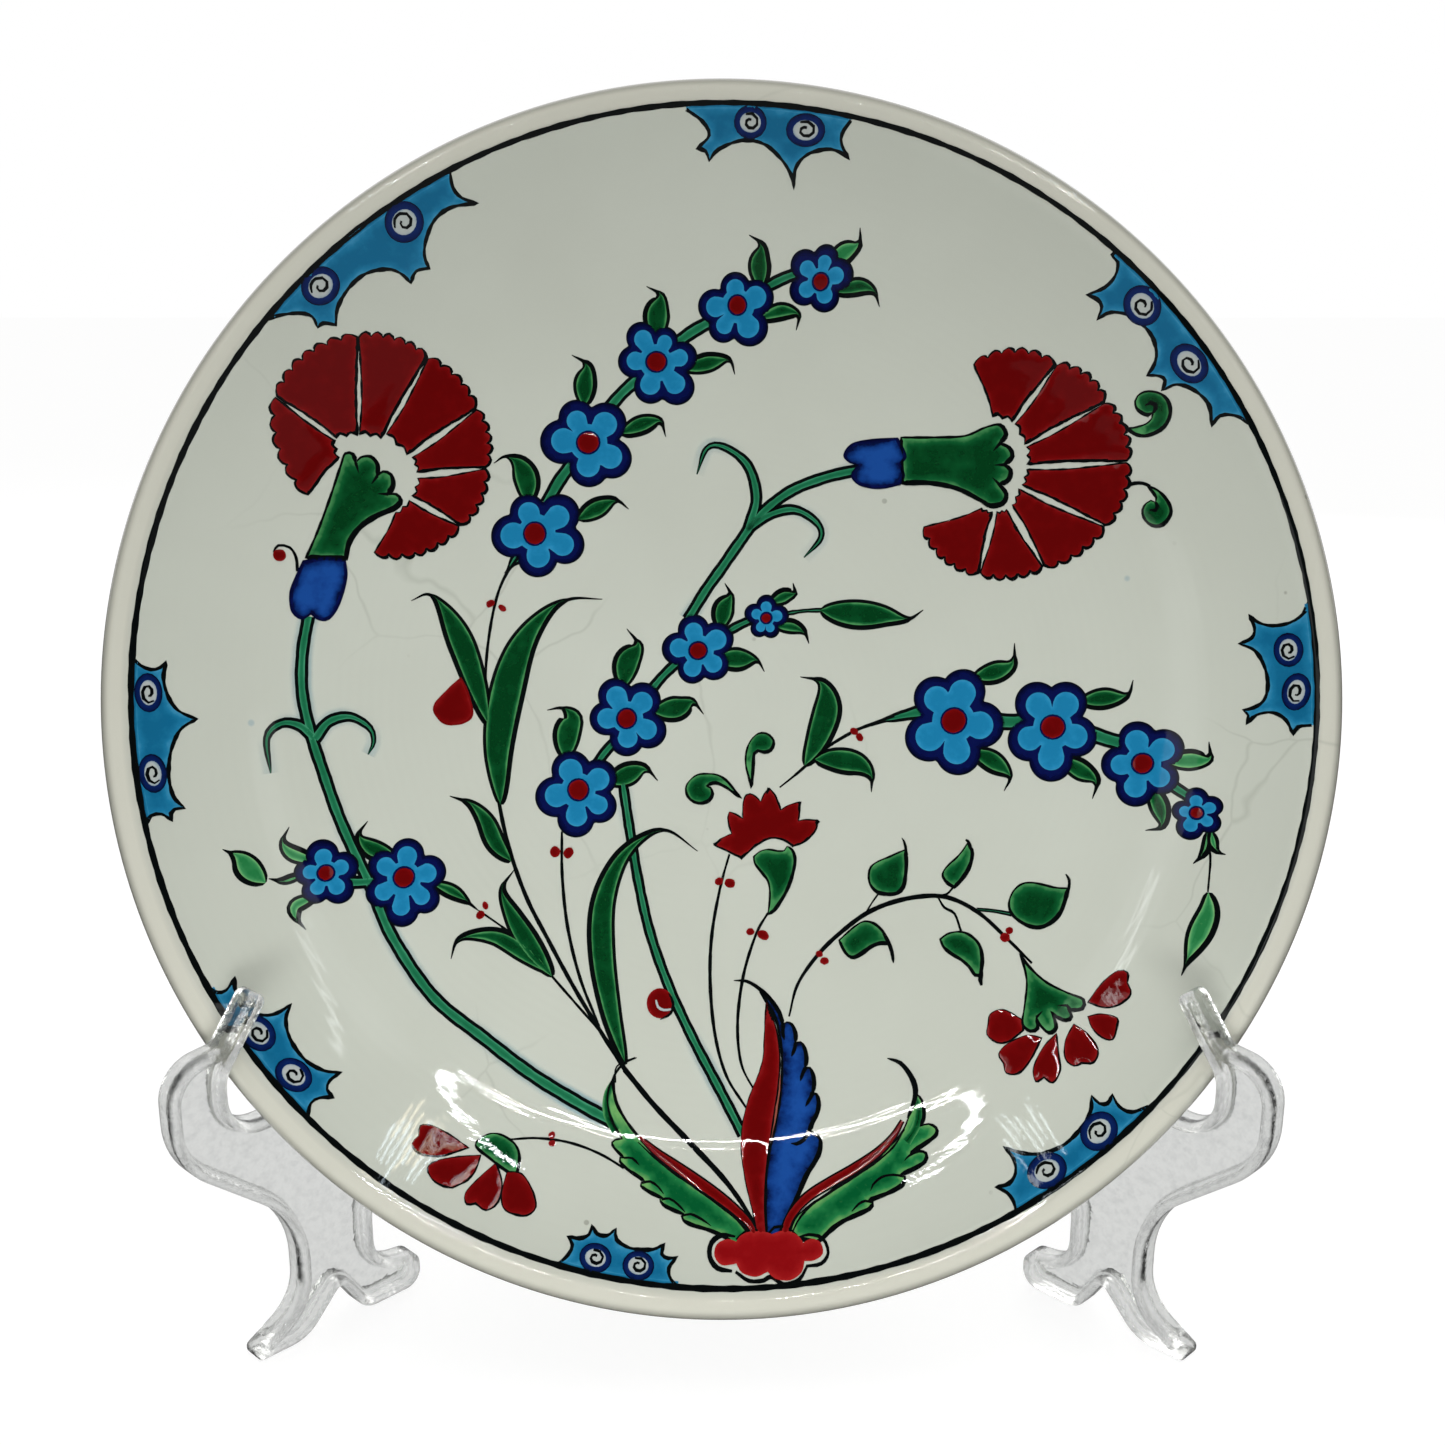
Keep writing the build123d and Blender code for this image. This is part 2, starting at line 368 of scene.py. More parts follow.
# for each pigment: its name, the colour deep inside a mark, between, and at the border,
# how much of the mark is border, how cloudy it is, the size of the clouds and how lumpy it is
pigments = {
    "ink": ("brushInk", (0.0012, 0.0022, 0.0024), (0.0016, 0.0030, 0.0032), (0.003, 0.006, 0.006), 0.4,
            0.2, 260.0, 0.0),
    "leafGreen": ("leafGreen", (0.0005, 0.050, 0.011), (0.004, 0.112, 0.030), (0.085, 0.340, 0.115), 0.5,
                  0.55, 190.0, 0.0),
    "paleGreen": ("paleLeafGreen", (0.020, 0.210, 0.062), (0.062, 0.340, 0.120), (0.230, 0.540, 0.210),
                  0.5, 0.5, 190.0, 0.0),
    "sazGreen": ("footLeafGreen", (0.001, 0.105, 0.028), (0.018, 0.225, 0.065), (0.180, 0.450, 0.140),
                 0.5, 0.55, 170.0, 0.0),
    "stemGreen": ("stemGreen", (0.010, 0.150, 0.064), (0.018, 0.210, 0.095), (0.060, 0.330, 0.180), 0.35,
                  0.6, 150.0, 0.0),
    "red": ("raisedRed", (0.142, 0.0008, 0.0012), (0.192, 0.0018, 0.0024), (0.250, 0.008, 0.009), 0.42,
            0.6, 300.0, 0.8),
    "brightRed": ("brightRed", (0.285, 0.003, 0.005), (0.340, 0.007, 0.009), (0.420, 0.016, 0.016), 0.42,
                  0.6, 300.0, 0.7),
    "faintRed": ("thinRed", (0.330, 0.090, 0.060), (0.330, 0.090, 0.060), (0.400, 0.150, 0.110), 0.4, 0.3,
                 260.0, 0.0),
    "sky": ("skyBlue", (0.012, 0.225, 0.455), (0.019, 0.272, 0.530), (0.034, 0.310, 0.565), 0.4, 0.9,
            340.0, 0.0),
    "turquoise": ("turquoiseWash", (0.006, 0.150, 0.310), (0.014, 0.210, 0.410), (0.050, 0.310, 0.530),
                  0.45, 0.8, 210.0, 0.0),
    "cobaltRing": ("cobaltRing", (0.0022, 0.006, 0.078), (0.0012, 0.003, 0.048), (0.0005, 0.001, 0.016),
                   0.42, 0.4, 260.0, 0.0),
    "cobaltEye": ("cobaltEye", (0.0030, 0.018, 0.120), (0.0015, 0.010, 0.075), (0.001, 0.005, 0.030),
                  0.42, 0.3, 260.0, 0.0),
    "cobalt": ("cobaltWash", (0.0110, 0.078, 0.360), (0.0050, 0.042, 0.230), (0.001, 0.006, 0.055), 0.42,
               0.9, 260.0, 0.0),
    "eyeWhite": ("bareWhite", (0.520, 0.560, 0.540), (0.490, 0.540, 0.545), (0.300, 0.400, 0.480), 0.3,
                 0.2, 260.0, 0.0),
}
finishes = {key: makePigment(*values) for key, values in pigments.items()}
finishes["bleed"] = makeBleed()
print("finishes mixed:", len(finishes))


lipCircle = dishShape["radius"] - dishShape["lipRadius"]  # the middle of the lip's round edge
wallEnd = lipCircle - dishShape["lipSlopeWidth"]


def arcRadius(run, rise):
    # radius of an arc that leaves a level line smoothly and ends so far out and so far up
    return (run * run + rise * rise) / (2 * rise)


def faceDepth(r):
    # how far the painted face lies behind the lip's plane
    shape = dishShape
    if r <= shape["floorRadius"]:
        return shape["depth"]
    if r <= wallEnd:
        curve = arcRadius(wallEnd - shape["floorRadius"], shape["depth"] - shape["lipSlopeDrop"])
        return shape["depth"] - curve + sqrt(curve * curve - (r - shape["floorRadius"]) ** 2)
    if r <= lipCircle:
        return shape["lipSlopeDrop"] * (lipCircle - r) / shape["lipSlopeWidth"]
    return shape["lipRadius"] - sqrt(max(shape["lipRadius"] ** 2 - (r - lipCircle) ** 2, 0.0))


def dishOutline():
    # radius and depth of each point, from the middle of the face round to the middle of the back
    shape = dishShape
    stops = [0.0, *shape["floorStops"]]
    for i in range(shape["wallSteps"] + 1):
        stops.append(shape["floorRadius"] + (wallEnd - shape["floorRadius"]) * i / shape["wallSteps"])
    stops.append(lipCircle - shape["lipSlopeWidth"] * 0.5)
    points = [(r, faceDepth(r)) for r in stops]
    for i in range(shape["lipSteps"] + 1):
        turn = pi * i / shape["lipSteps"]
        points.append((lipCircle + shape["lipRadius"] * sin(turn), shape["lipRadius"] * (1 - cos(turn))))
    base = shape["depth"] + shape["floorThickness"]
    run = lipCircle - shape["footOuter"]
    curve = arcRadius(run, base - 2 * shape["lipRadius"])
    for i in range(1, shape["backSteps"] + 1):
        r = lipCircle - run * i / shape["backSteps"]
        points.append((r, base - curve + sqrt(curve * curve - (r - shape["footOuter"]) ** 2)))
    foot = base + shape["footHeight"]
    edge, taper = shape["footEdge"], shape["footTaper"]
    inner = shape["footOuter"] - shape["footWidth"]
    points += [
        (shape["footOuter"] - taper * 0.7, foot - edge),
        (shape["footOuter"] - taper - edge * 0.3, foot - edge * 0.3),
        (shape["footOuter"] - taper - edge, foot),
        (inner + taper + edge, foot),
        (inner + taper + edge * 0.3, foot - edge * 0.3),
        (inner + taper * 0.7, foot - edge),
        (inner, base),
    ]
    return points + [(r, base) for r in shape["backStops"]]


def makeDish(finish):
    points = [(r * mm, -depth * mm) for r, depth in dishOutline()]
    deselectAll()
    bpy.ops.mesh.primitive_plane_add(size=mm, location=(0, 0, points[0][1]))
    dish = bpy.context.object
    dish.name = "glazedDish"
    bpy.ops.object.mode_set(mode="EDIT")
    bpy.ops.mesh.merge(type="CENTER")
    for (r0, z0), (r1, z1) in zip(points, points[1:]):
        bpy.ops.mesh.extrude_region_move(TRANSFORM_OT_translate={"value": (r1 - r0, 0, z1 - z0)})
    bpy.ops.mesh.select_all(action="SELECT")
    bpy.ops.mesh.spin(steps=dishShape["turns"], angle=2 * pi, center=(0, 0, 0), axis=(0, 0, 1))
    bpy.ops.mesh.select_all(action="SELECT")
    bpy.ops.mesh.remove_doubles(threshold=1e-6)
    bpy.ops.mesh.select_all(action="SELECT")
    bpy.ops.mesh.normals_make_consistent(inside=False)
    bpy.ops.object.mode_set(mode="OBJECT")
    bpy.ops.object.transform_apply(location=True, rotation=True, scale=True)
    dish.data.transform(dishPlace)
    dish.data.materials.append(finish)
    smoothShade(dish, dishShape["smoothAngle"])
    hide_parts("dish")
    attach(dish, "dish")
    return dish


glazedDish = makeDish(makeGlaze())
print("dish turned:", len(glazedDish.data.polygons), "faces")


# A brush mark is a thin layer that follows the face of the dish, so many mm above it.
paintLayers = {
    "bleed": 0.05,
    "deepInk": 0.06,
    "deepColour": 0.07,
    "under": 0.08,
    "colour": 0.11,
    "over": 0.14,
    "top": 0.17,
    "last": 0.20,
    "crest": 0.34,
}
paintStep = 1.1  # mm between points along a mark
paintEdge = 0.9  # mm from the side of a wide line to its full depth of colour
rowGap = 0.87  # the points inside an area stand in rows, this share of their spacing apart
edgeGap = 0.4  # and no nearer to its border than this share


def curveThrough(points, closed=False, step=paintStep):
    # a smooth line through the points; a point with a third value is a sharp corner
    corners = [i for i, p in enumerate(points) if len(p) == 3]
    plain = [Vector((p[0], p[1])) for p in points]
    if closed and not corners:
        runs = [(plain, True)]
    else:
        if closed:
            start = corners[0]
            plain = plain[start:] + plain[:start] + [plain[start]]
            corners = [i - start if i >= start else i - start + len(points) for i in corners]
            corners = sorted(corners) + [len(plain) - 1]
        else:
            corners = sorted({0, len(plain) - 1, *corners})
        runs = [(plain[a : b + 1], False) for a, b in zip(corners, corners[1:])]
    line = []
    for run, loop in runs:
        count = len(run)
        pieces = count if loop else count - 1
        for i in range(pieces):
            if loop:
                p0, p1, p2, p3 = (run[(i + k) % count] for k in (-1, 0, 1, 2))
            else:
                p1, p2 = run[i], run[i + 1]
                p0 = run[i - 1] if i > 0 else p1 * 2 - p2
                p3 = run[i + 2] if i + 2 < count else p2 * 2 - p1
            cuts = max(1, int(round((p2 - p1).length / step)))
            for k in range(cuts):
                t = k / cuts
                spot = p1 * 2 + (p2 - p0) * t + (p0 * 2 - p1 * 5 + p2 * 4 - p3) * t * t
                line.append((spot + (p1 * 3 - p0 - p2 * 3 + p3) * t**3) * 0.5)
    if not closed:
        line.append(plain[-1])
    return line


def shares(line):
    # how far along the line each point lies, from 0 to 1
    run = [0.0]
    for a, b in zip(line, line[1:]):
        run.append(run[-1] + (b - a).length)
    return [r / run[-1] for r in run]


def sideways(line, closed=False):
    count = len(line)
    out = []
    for i in range(count):
        before = line[i - 1] if closed or i else line[0]
        after = line[(i + 1) % count] if closed or i + 1 < count else line[-1]
        run = after - before
        out.append(Vector((-run.y, run.x)).normalized() if run.length else Vector((0, 1)))
    return out


class Painting:
    # one painted motif: its marks share a mesh, with a material for each pigment
    def __init__(self, name):
        self.name = name
        self.points = []
        self.depths = []  # 0 at a mark's border, 1 well inside it
        self.faces = []
        self.pigments = []
        self.faceSlots = []

    def add(self, points, depths, heights, faces, pigment):
        start = len(self.points)
        for point, height in zip(points, heights):
            r = hypot(point[0], point[1])
            self.points.append((point[0] * mm, point[1] * mm, (height - faceDepth(r)) * mm))
        self.depths += depths
        if pigment not in self.pigments:
            self.pigments.append(pigment)
        slot = self.pigments.index(pigment)
        for face in faces:
            self.faces.append([start + i for i in face])
            self.faceSlots.append(slot)

    def ribbon(self, line, halves, pigment, layer="under", across=4, closed=False, swell=0.0):
        # halves is half the width at each point of the line
        sides = sideways(line, closed)
        count = len(line)
        points, depths, heights, faces = [], [], [], []
        for i, point in enumerate(line):
            for k in range(across + 1):
                u = 2 * k / across - 1
                depth = 1 - abs(u)
                spot = point + sides[i] * halves[i] * u
                points.append((spot.x, spot.y))
                depths.append(min(1.0, depth * max(1.0, halves[i] / paintEdge)))
                heights.append(paintLayers[layer] + swell * (1 - u * u))
        wide = across + 1
        for i in range(count if closed else count - 1):
            j = (i + 1) % count
            for k in range(across):
                faces.append([i * wide + k + 1, i * wide + k, j * wide + k, j * wide + k + 1])
        self.add(points, depths, heights, faces, pigment)

    def fill(self, outline, pigment, layer="colour", soft=1.3, swell=0.0, grid=1.5):
        # a closed area of colour, with points inside it so that it follows the face
        count = len(outline)
        low = Vector((min(p.x for p in outline), min(p.y for p in outline)))
        high = Vector((max(p.x for p in outline), max(p.y for p in outline)))
        edges = [(i, (i + 1) % count) for i in range(count)]

        def distance(spot):
            best = 1e9
            for a, b in edges:
                along = outline[b] - outline[a]
                t = max(0.0, min(1.0, (spot - outline[a]).dot(along) / max(along.length_squared, 1e-12)))
                best = min(best, (spot - outline[a] - along * t).length_squared)
            return sqrt(best)

        def inside(spot):
            odd = False
            for a, b in edges:
                p, q = outline[a], outline[b]
                if (p.y > spot.y) != (q.y > spot.y):
                    crossing = (q.x - p.x) * (spot.y - p.y) / (q.y - p.y) + p.x
                    odd = odd != (spot.x < crossing)
            return odd

        spots, depths = list(outline), [0.0] * count
        row, y = 0, low.y + grid / 2
        while y < high.y:
            x = low.x + grid * (0.5 if row % 2 else 0.0)
            while x < high.x:
                spot = Vector((x, y))
                if inside(spot):
                    gap = distance(spot)
                    if gap > grid * edgeGap:
                        spots.append(spot)
                        depths.append(min(1.0, gap / soft))
                x += grid
            y += grid * rowGap
            row += 1
        found = delaunay_2d_cdt(spots, edges, [], 1, 1e-5)
        points, faces, origins = found[0], found[2], found[3]
        depths = [depths[origin[0]] if origin else 0.0 for origin in origins]
        heights = [paintLayers[layer] + swell * d * (2 - d) for d in depths]
        self.add([(p.x, p.y) for p in points], depths, heights, [list(f) for f in faces], pigment)

    def build(self):
        mesh = bpy.data.meshes.new(self.name)
        mesh.from_pydata(self.points, [], self.faces)
        depth = mesh.attributes.new("depth", "FLOAT", "POINT")
        depth.data.foreach_set("value", self.depths)
        for pigment in self.pigments:
            mesh.materials.append(finishes[pigment])
        mesh.polygons.foreach_set("material_index", self.faceSlots)
        mesh.transform(dishPlace)
        mesh.update()
        piece = bpy.data.objects.new(self.name, mesh)
        bpy.context.scene.collection.objects.link(piece)
        facing = dishPlace.to_3x3() @ Vector((0, 0, 1))
        wrong = [p.index for p in mesh.polygons if p.normal.dot(facing) < 0]
        if wrong:
            shape = bmesh.new()
            shape.from_mesh(mesh)
            shape.faces.ensure_lookup_table()
            bmesh.ops.reverse_faces(shape, faces=[shape.faces[i] for i in wrong])
            shape.to_mesh(mesh)
            shape.free()
        mesh.polygons.foreach_set("use_smooth", [True] * len(mesh.polygons))
        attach(piece, "dish")
        print("painted", self.name, len(mesh.polygons), "faces")


# brush marks that many motifs share, in mm or as shares
brush = {
    "outline": 1.0,  # dark line round leaves and stems
    "heavySide": 0.2,  # how much heavier the line is on one side
    "hook": 0.38,  # half width of a leaf's hooked tip
    "hookEnd": 0.1,  # and at its very end
    "leafSwell": 0.6,  # below 1 a leaf widens early from its foot
    "leafTaper": 1.05,  # above 1 it narrows early towards its tip
    "leafInside": 0.45,  # shares of the outline inside and outside a leaf's own width
    "leafOutside": 0.62,
    "stemLine": 0.86,  # a stem's line against a leaf's
    "stemInside": 0.55,
    "stemEnd": 0.95,  # where along a tapering stem its green ends, and where its dark lines do
    "stemInkEnd": 1.02,
    "stemTaper": 0.7,  # below 1 the two stay wide and then close quickly
    "stemInkTaper": 0.6,
    "stemTip": 0.14,  # share of a stem over which its dark tip closes
    "stemInkLeast": 0.5,  # share of its dark lines that a stem keeps where its green is thinnest
    "bleedReach": 2.2,  # how far the bleed goes beyond a stem
    "tuck": 1.4,  # how far leaves and joins reach in under the blossoms
    "waver": 0.07,
    "slowWaver": 0.9,  # two rates of the waver, in radians a millimetre
    "fastWaver": 2.3,
    "fastShare": 0.6,  # strength of the fast one against the slow
    "waverShare": 0.6,  # and of the two together
    "lineWaver": 0.05,
    "lineSwell": 0.7,  # below 1 a line reaches its middle width early
    "thinnest": 0.06,  # least half widths of a line, of a stem's or a leaf's green and of an outline
    "stemThinnest": 0.04,
    "leafThinnest": 0.02,
    "outlineThinnest": 0.08,
    "shadeWeight": 0.45,  # how much heavier outlines are drawn on their shaded side, as painted shade
    "shadedSide": (0.6, -0.8),  # direction of that side
    "berryWobble": 0.08,
    "berryPoints": 12,
}
hand = random.Random(11)


def wavering(line, amount=brush["waver"]):
    slow, fast, _ = (hand.uniform(0, 2 * pi) for _ in range(3))  # the third draw isn't used
    out = []
    travelled = 0.0
    for i, point in enumerate(line):
        if i:
            travelled += (point - line[i - 1]).length
        sway = sin(travelled * brush["slowWaver"] + slow)
        sway += brush["fastShare"] * sin(travelled * brush["fastWaver"] + fast)
        out.append(amount * sway * brush["waverShare"])
    return out


def paintLine(painting, points, start, middle, end, pigment="ink", layer="under"):
    # a single brush line; the three values are its half widths
    line = curveThrough(points)
    halves = []
    for s, shake in zip(shares(line), wavering(line, brush["lineWaver"])):
        blend = sin(pi * s) ** brush["lineSwell"]
        half = (start * (1 - s) + end * s) * (1 - blend) + middle * blend + shake
        halves.append(max(brush["thinnest"], half))
    painting.ribbon(line, halves, pigment, layer, across=2)


def paintLines(painting, marks, pigment="ink", layer="under"):
    for mark in marks:
        paintLine(painting, *mark, pigment, layer)


def paintStem(painting, points, width, endWidth, taper=0.0, bleed=True):
    # a green stem between two dark lines
    line = curveThrough(points)
    places = shares(line)
    edge = brush["outline"] * brush["stemLine"]
    inner, outer = [], []
    for s, shake in zip(places, wavering(line)):
        half = (width * (1 - s) + endWidth * s) / 2 - edge * brush["stemInside"] + shake
        if taper and s > 1 - taper:
            half *= max(0.0, (brush["stemEnd"] - s) / taper) ** brush["stemTaper"]
        half = max(brush["stemThinnest"], half)
        inner.append(half)
        tip = 1.0
        if taper:
            tip = min(1.0, (brush["stemInkEnd"] - s) / brush["stemTip"]) ** brush["stemInkTaper"]
        outer.append((half + edge * min(1.0, brush["stemInkLeast"] + half)) * tip)
    painting.ribbon(line, outer, "ink", "deepInk")
    painting.ribbon(line, inner, "stemGreen", "deepColour")
    if bleed:
        painting.ribbon(line, [half + brush["bleedReach"] for half in inner], "bleed", "bleed", across=6)


def paintLeaf(painting, points, width, pigment, belly, fillEnd=0.86, deep=False):
    # a pointed leaf, widest at its belly, whose dark tip curls over
    line = curveThrough(points, step=0.8)
    places = shares(line)
    fill, dark = [], []
    for s in places:
        if s < belly:
            share = sin(pi / 2 * s / belly) ** brush["leafSwell"]
        else:
            share = cos(pi / 2 * min(1.0, (s - belly) / (fillEnd - belly))) ** brush["leafTaper"]
        half = width / 2 * share
        fill.append(max(brush["leafThinnest"], half - brush["outline"] * brush["leafInside"]))
        if s < fillEnd:
            dark.append(half + brush["outline"] * brush["leafOutside"])
        else:
            dark.append(brush["hookEnd"] + brush["hook"] * (1 - s) / (1 - fillEnd))
    side = 1 if hand.random() < 0.5 else -1
    shifted = [p + n * side * brush["heavySide"] for p, n in zip(line, sideways(line))]
    painting.ribbon(shifted, dark, "ink", "deepInk" if deep else "under")
    inside = [i for i, s in enumerate(places) if s <= fillEnd]
    layer = "deepColour" if deep else "colour"
    painting.ribbon([line[i] for i in inside], [fill[i] for i in inside], pigment, layer, across=6)


def outlineHalves(outline, half, amount=0.08):
    # the dark outline is ink, and its extra weight on the lower right side of a shape is painted shade
    turn = sum(a.x * b.y - b.x * a.y for a, b in zip(outline, outline[1:] + outline[:1]))
    sign = -1 if turn > 0 else 1
    shadedSide = Vector(brush["shadedSide"])
    halves = []
    for out, shake in zip(sideways(outline, True), wavering(outline, amount)):
        wide = half * (1 + brush["shadeWeight"] * sign * out.dot(shadedSide)) + shake
        halves.append(max(brush["outlineThinnest"], wide))
    return halves


def paintArea(painting, points, pigment, line, linePigment="ink", soft=1.3, swell=0.0, layer="colour"):
    # an area of colour with a thin dark line round it
    outline = curveThrough(points, closed=True, step=0.9)
    painting.fill(outline, pigment, layer, soft, swell)
    if line:
        painting.ribbon(outline, outlineHalves(outline, line), linePigment, "over", across=2, closed=True)


def ovalLine(x, y, long, short, turn, count=18):
    c, s = cos(radians(turn)), sin(radians(turn))
    spots = []
    for k in range(count):
        u, v = long * cos(2 * pi * k / count), short * sin(2 * pi * k / count)
        spots.append((x + u * c - v * s, y + u * s + v * c))
    return curveThrough(spots, closed=True, step=0.8)


def paintBerry(painting, x, y, radius, long, turn):
    dot = []
    c, s = cos(radians(turn)), sin(radians(turn))
    wobble = brush["berryWobble"]
    for i in range(brush["berryPoints"]):
        around = 2 * pi * i / brush["berryPoints"]
        spot = Vector((cos(around) * radius * long, sin(around) * radius))
        spot = spot + Vector((hand.uniform(-wobble, wobble), hand.uniform(-wobble, wobble)))
        dot.append((x + spot.x * c - spot.y * s, y + spot.x * s + spot.y * c))
    painting.fill(curveThrough(dot, closed=True, step=0.5), "red", "over", soft=0.8, swell=0.1, grid=0.9)


# blossom sprays
sprays = {
    "heartShare": 0.245,  # size of the red heart against a petal's mean reach
    "fat": 0.435,  # size of a petal's round end and of the hub, against its reach
    "hub": 0.3,
    "paleFat": 0.325,  # the same for the pale inside, whose petals reach less far
    "paleHub": 0.5,
    "paleReach": 0.78,
    "smallReach": 0.7,  # small blossoms are mostly dark
    "smallBlossom": 9,
    "inkWidth": 0.36,
    "heartLine": 0.27,
    "evenGap": 72,  # degrees between five even petals
    "widestGap": 90,  # a petal grows no further with the room beside it
    "gapGrowth": 0.8,
    "hubSpread": 70,  # degrees on either side of a petal that its share of the hub reaches
    "turnSway": 3,  # how far the pale insides stray from the petals, in degrees and in reach
    "reachSway": 0.02,
    "heartSquash": 0.96,
    "steps": 110,
    "joinBend": 0.04,
    # place of the heart, then direction and reach of each petal
    "blossoms": [
        ((25.0, 105.6), [(135, 9.3), (77, 8.8), (20, 8.6), (286, 7.5), (205, 8.3)]),
        ((4.0, 100.2), [(183, 10.0), (97, 8.0), (20, 9.6), (300, 11.0), (237, 10.3)]),
        ((-16.6, 86.2), [(122, 11.0), (68, 9.2), (11, 10.6), (309, 12.8), (257, 10.8), (180, 9.8)]),
        ((-34.0, 65.7), [(115, 11.6), (48, 12.0), (326, 12.4), (272, 11.4), (178, 12.3)]),
        ((-47.6, 42.5), [(108, 10.4), (38, 13.2), (340, 13.2), (277, 11.2), (186, 11.2)]),
        ((11.4, 21.0), [(88, 6.0), (12, 5.9), (292, 5.4), (236, 5.5), (160, 5.8)]),
        ((-6.0, 12.7), [(102, 9.4), (32, 10.0), (318, 9.4), (253, 8.7), (175, 9.3)]),
        ((-24.2, -4.6), [(116, 11.0), (48, 10.8), (331, 11.0), (270, 9.7), (180, 9.5)]),
        ((-36.5, -22.8), [(110, 10.4), (31, 10.8), (323, 11.2), (265, 12.2), (197, 11.3)]),
        ((59.2, -5.2), [(129, 13.0), (72, 13.6), (352, 13.0), (278, 14.0), (214, 13.8)]),
        ((84.4, -6.8), [(124, 12.8), (62, 12.4), (338, 11.6), (267, 14.0), (209, 12.4)]),
        ((106.3, -16.0), [(100, 10.8), (38, 11.2), (320, 9.8), (254, 11.2), (183, 10.0)]),
        ((118.4, -28.2), [(88, 6.4), (28, 6.4), (320, 6.2), (246, 7.1), (172, 5.6)]),
        ((-99.8, -43.6), [(102, 8.6), (20, 8.2), (308, 8.9), (242, 8.2), (176, 7.6)]),
        ((-80.8, -45.0), [(81, 10.0), (12, 10.8), (314, 11.4), (268, 12.6), (214, 10.6), (150, 9.8)]),
    ],
    # green pieces that join the blossoms: two ends and a width
    "joins": [
        ((18.5, 107.4), (11.5, 104.4), 2.4),
        ((-2.6, 96.2), (-11.4, 90.8), 2.8),
        ((-21.8, 81.4), (-28.6, 74.4), 2.8),
        ((-38.6, 59.6), (-43.8, 51.4), 2.9),
        ((7.6, 20.4), (1.6, 17.4), 1.9),
        ((-11.0, 9.8), (-18.0, 2.4), 2.1),
        ((-27.2, -10.6), (-31.6, -16.0), 2.1),
        ((69.8, -5.2), (77.6, -5.2), 3.6),
        ((92.6, -7.6), (101.6, -10.8), 3.4),
        ((112.6, -20.8), (117.6, -24.4), 2.4),
        ((-93.4, -46.0), (-88.6, -45.8), 2.6),
    ],
    # green twigs without a blossom: points and the two widths
    "twigs": [
        ([(52.0, -2.6), (45.0, -4.2), (38.0, -6.2)], 3.4, 0.3),
        ([(-49.5, 37.6), (-52.8, 35.6), (-55.0, 32.2)], 3.6, 0.4),
        ([(17.0, 22.2), (20.8, 22.8), (25.6, 23.0)], 1.1, 1.1),
    ],
    "darkLines": [
        ([(14.8, -22.2), (20.0, -18.0), (26.0, -12.6), (33.5, -8.0), (39.0, -5.8), (44.0, -3.8)], 0.15,
         0.42, 0.5),
        ([(120.9, -34.5), (121.0, -40.0), (120.1, -47.5)], 0.2, 0.26, 0.15),
        ([(-51.5, 37.0), (-55.5, 31.0), (-58.0, 23.5), (-59.8, 12.0), (-60.2, 1.0), (-59.4, -8.0)], 0.4,
         0.38, 0.3),
    ],
}


def lobedOutline(centre, petals, fat, hub):
    # union of a disc per petal and a hub; fat and hub are shares of a petal's reach
    outline = []
    count = len(petals)
    for k in range(sprays["steps"]):
        turn = 360 * k / sprays["steps"]
        best = 0.0
        for i, (angle, reach) in enumerate(petals):
            before = (angle - petals[i - 1][0]) % 360
            after = (petals[(i + 1) % count][0] - angle) % 360
            room = min(sprays["widestGap"], (before + after) / 2) / sprays["evenGap"]
            disc = reach * fat * room ** sprays["gapGrowth"]
            off = radians((turn - angle + 180) % 360 - 180)
            away = reach - disc
            under = disc * disc - (away * sin(off)) ** 2
            if under > 0 and cos(off) > 0:
                best = max(best, away * cos(off) + sqrt(under))
            if abs(off) < radians(sprays["hubSpread"]):
                best = max(best, hub * reach)
        outline.append(centre + Vector((cos(radians(turn)), sin(radians(turn)))) * best)
    return outline


def paintBlossom(painting, place, petals):
    # petals: pairs of direction in degrees and reach in mm
    centre = Vector(place)
    size = sum(reach for _, reach in petals) / len(petals)
    heart = size * sprays["heartShare"]
    petals = sorted((angle % 360, reach) for angle, reach in petals)
    edge = lobedOutline(centre, petals, sprays["fat"], sprays["hub"])
    painting.fill(edge, "ink", "deepColour")
    inner = [point.lerp(centre, sprays["inkWidth"] / (point - centre).length) for point in edge]
    painting.fill(inner, "cobaltRing", "under", soft=1.1)
    share = sprays["paleReach"] if size > sprays["smallBlossom"] else sprays["smallReach"]
    pales = []
    turnSway, reachSway = sprays["turnSway"], sprays["reachSway"]
    for angle, reach in petals:
        turned = angle + hand.uniform(-turnSway, turnSway)
        pales.append((turned, reach * (share + hand.uniform(-reachSway, reachSway))))
    pale = lobedOutline(centre, sorted(pales), sprays["paleFat"], sprays["paleHub"])
    painting.fill(pale, "sky", "colour", soft=1.0, grid=1.2)
    dot = ovalLine(centre.x, centre.y, heart, heart * sprays["heartSquash"], hand.uniform(0, 90))
    painting.fill(dot, "red", "over", soft=1.0, swell=0.12, grid=1.0)
    painting.ribbon(dot, [sprays["heartLine"]] * len(dot), "cobaltRing", "top", 2, True)


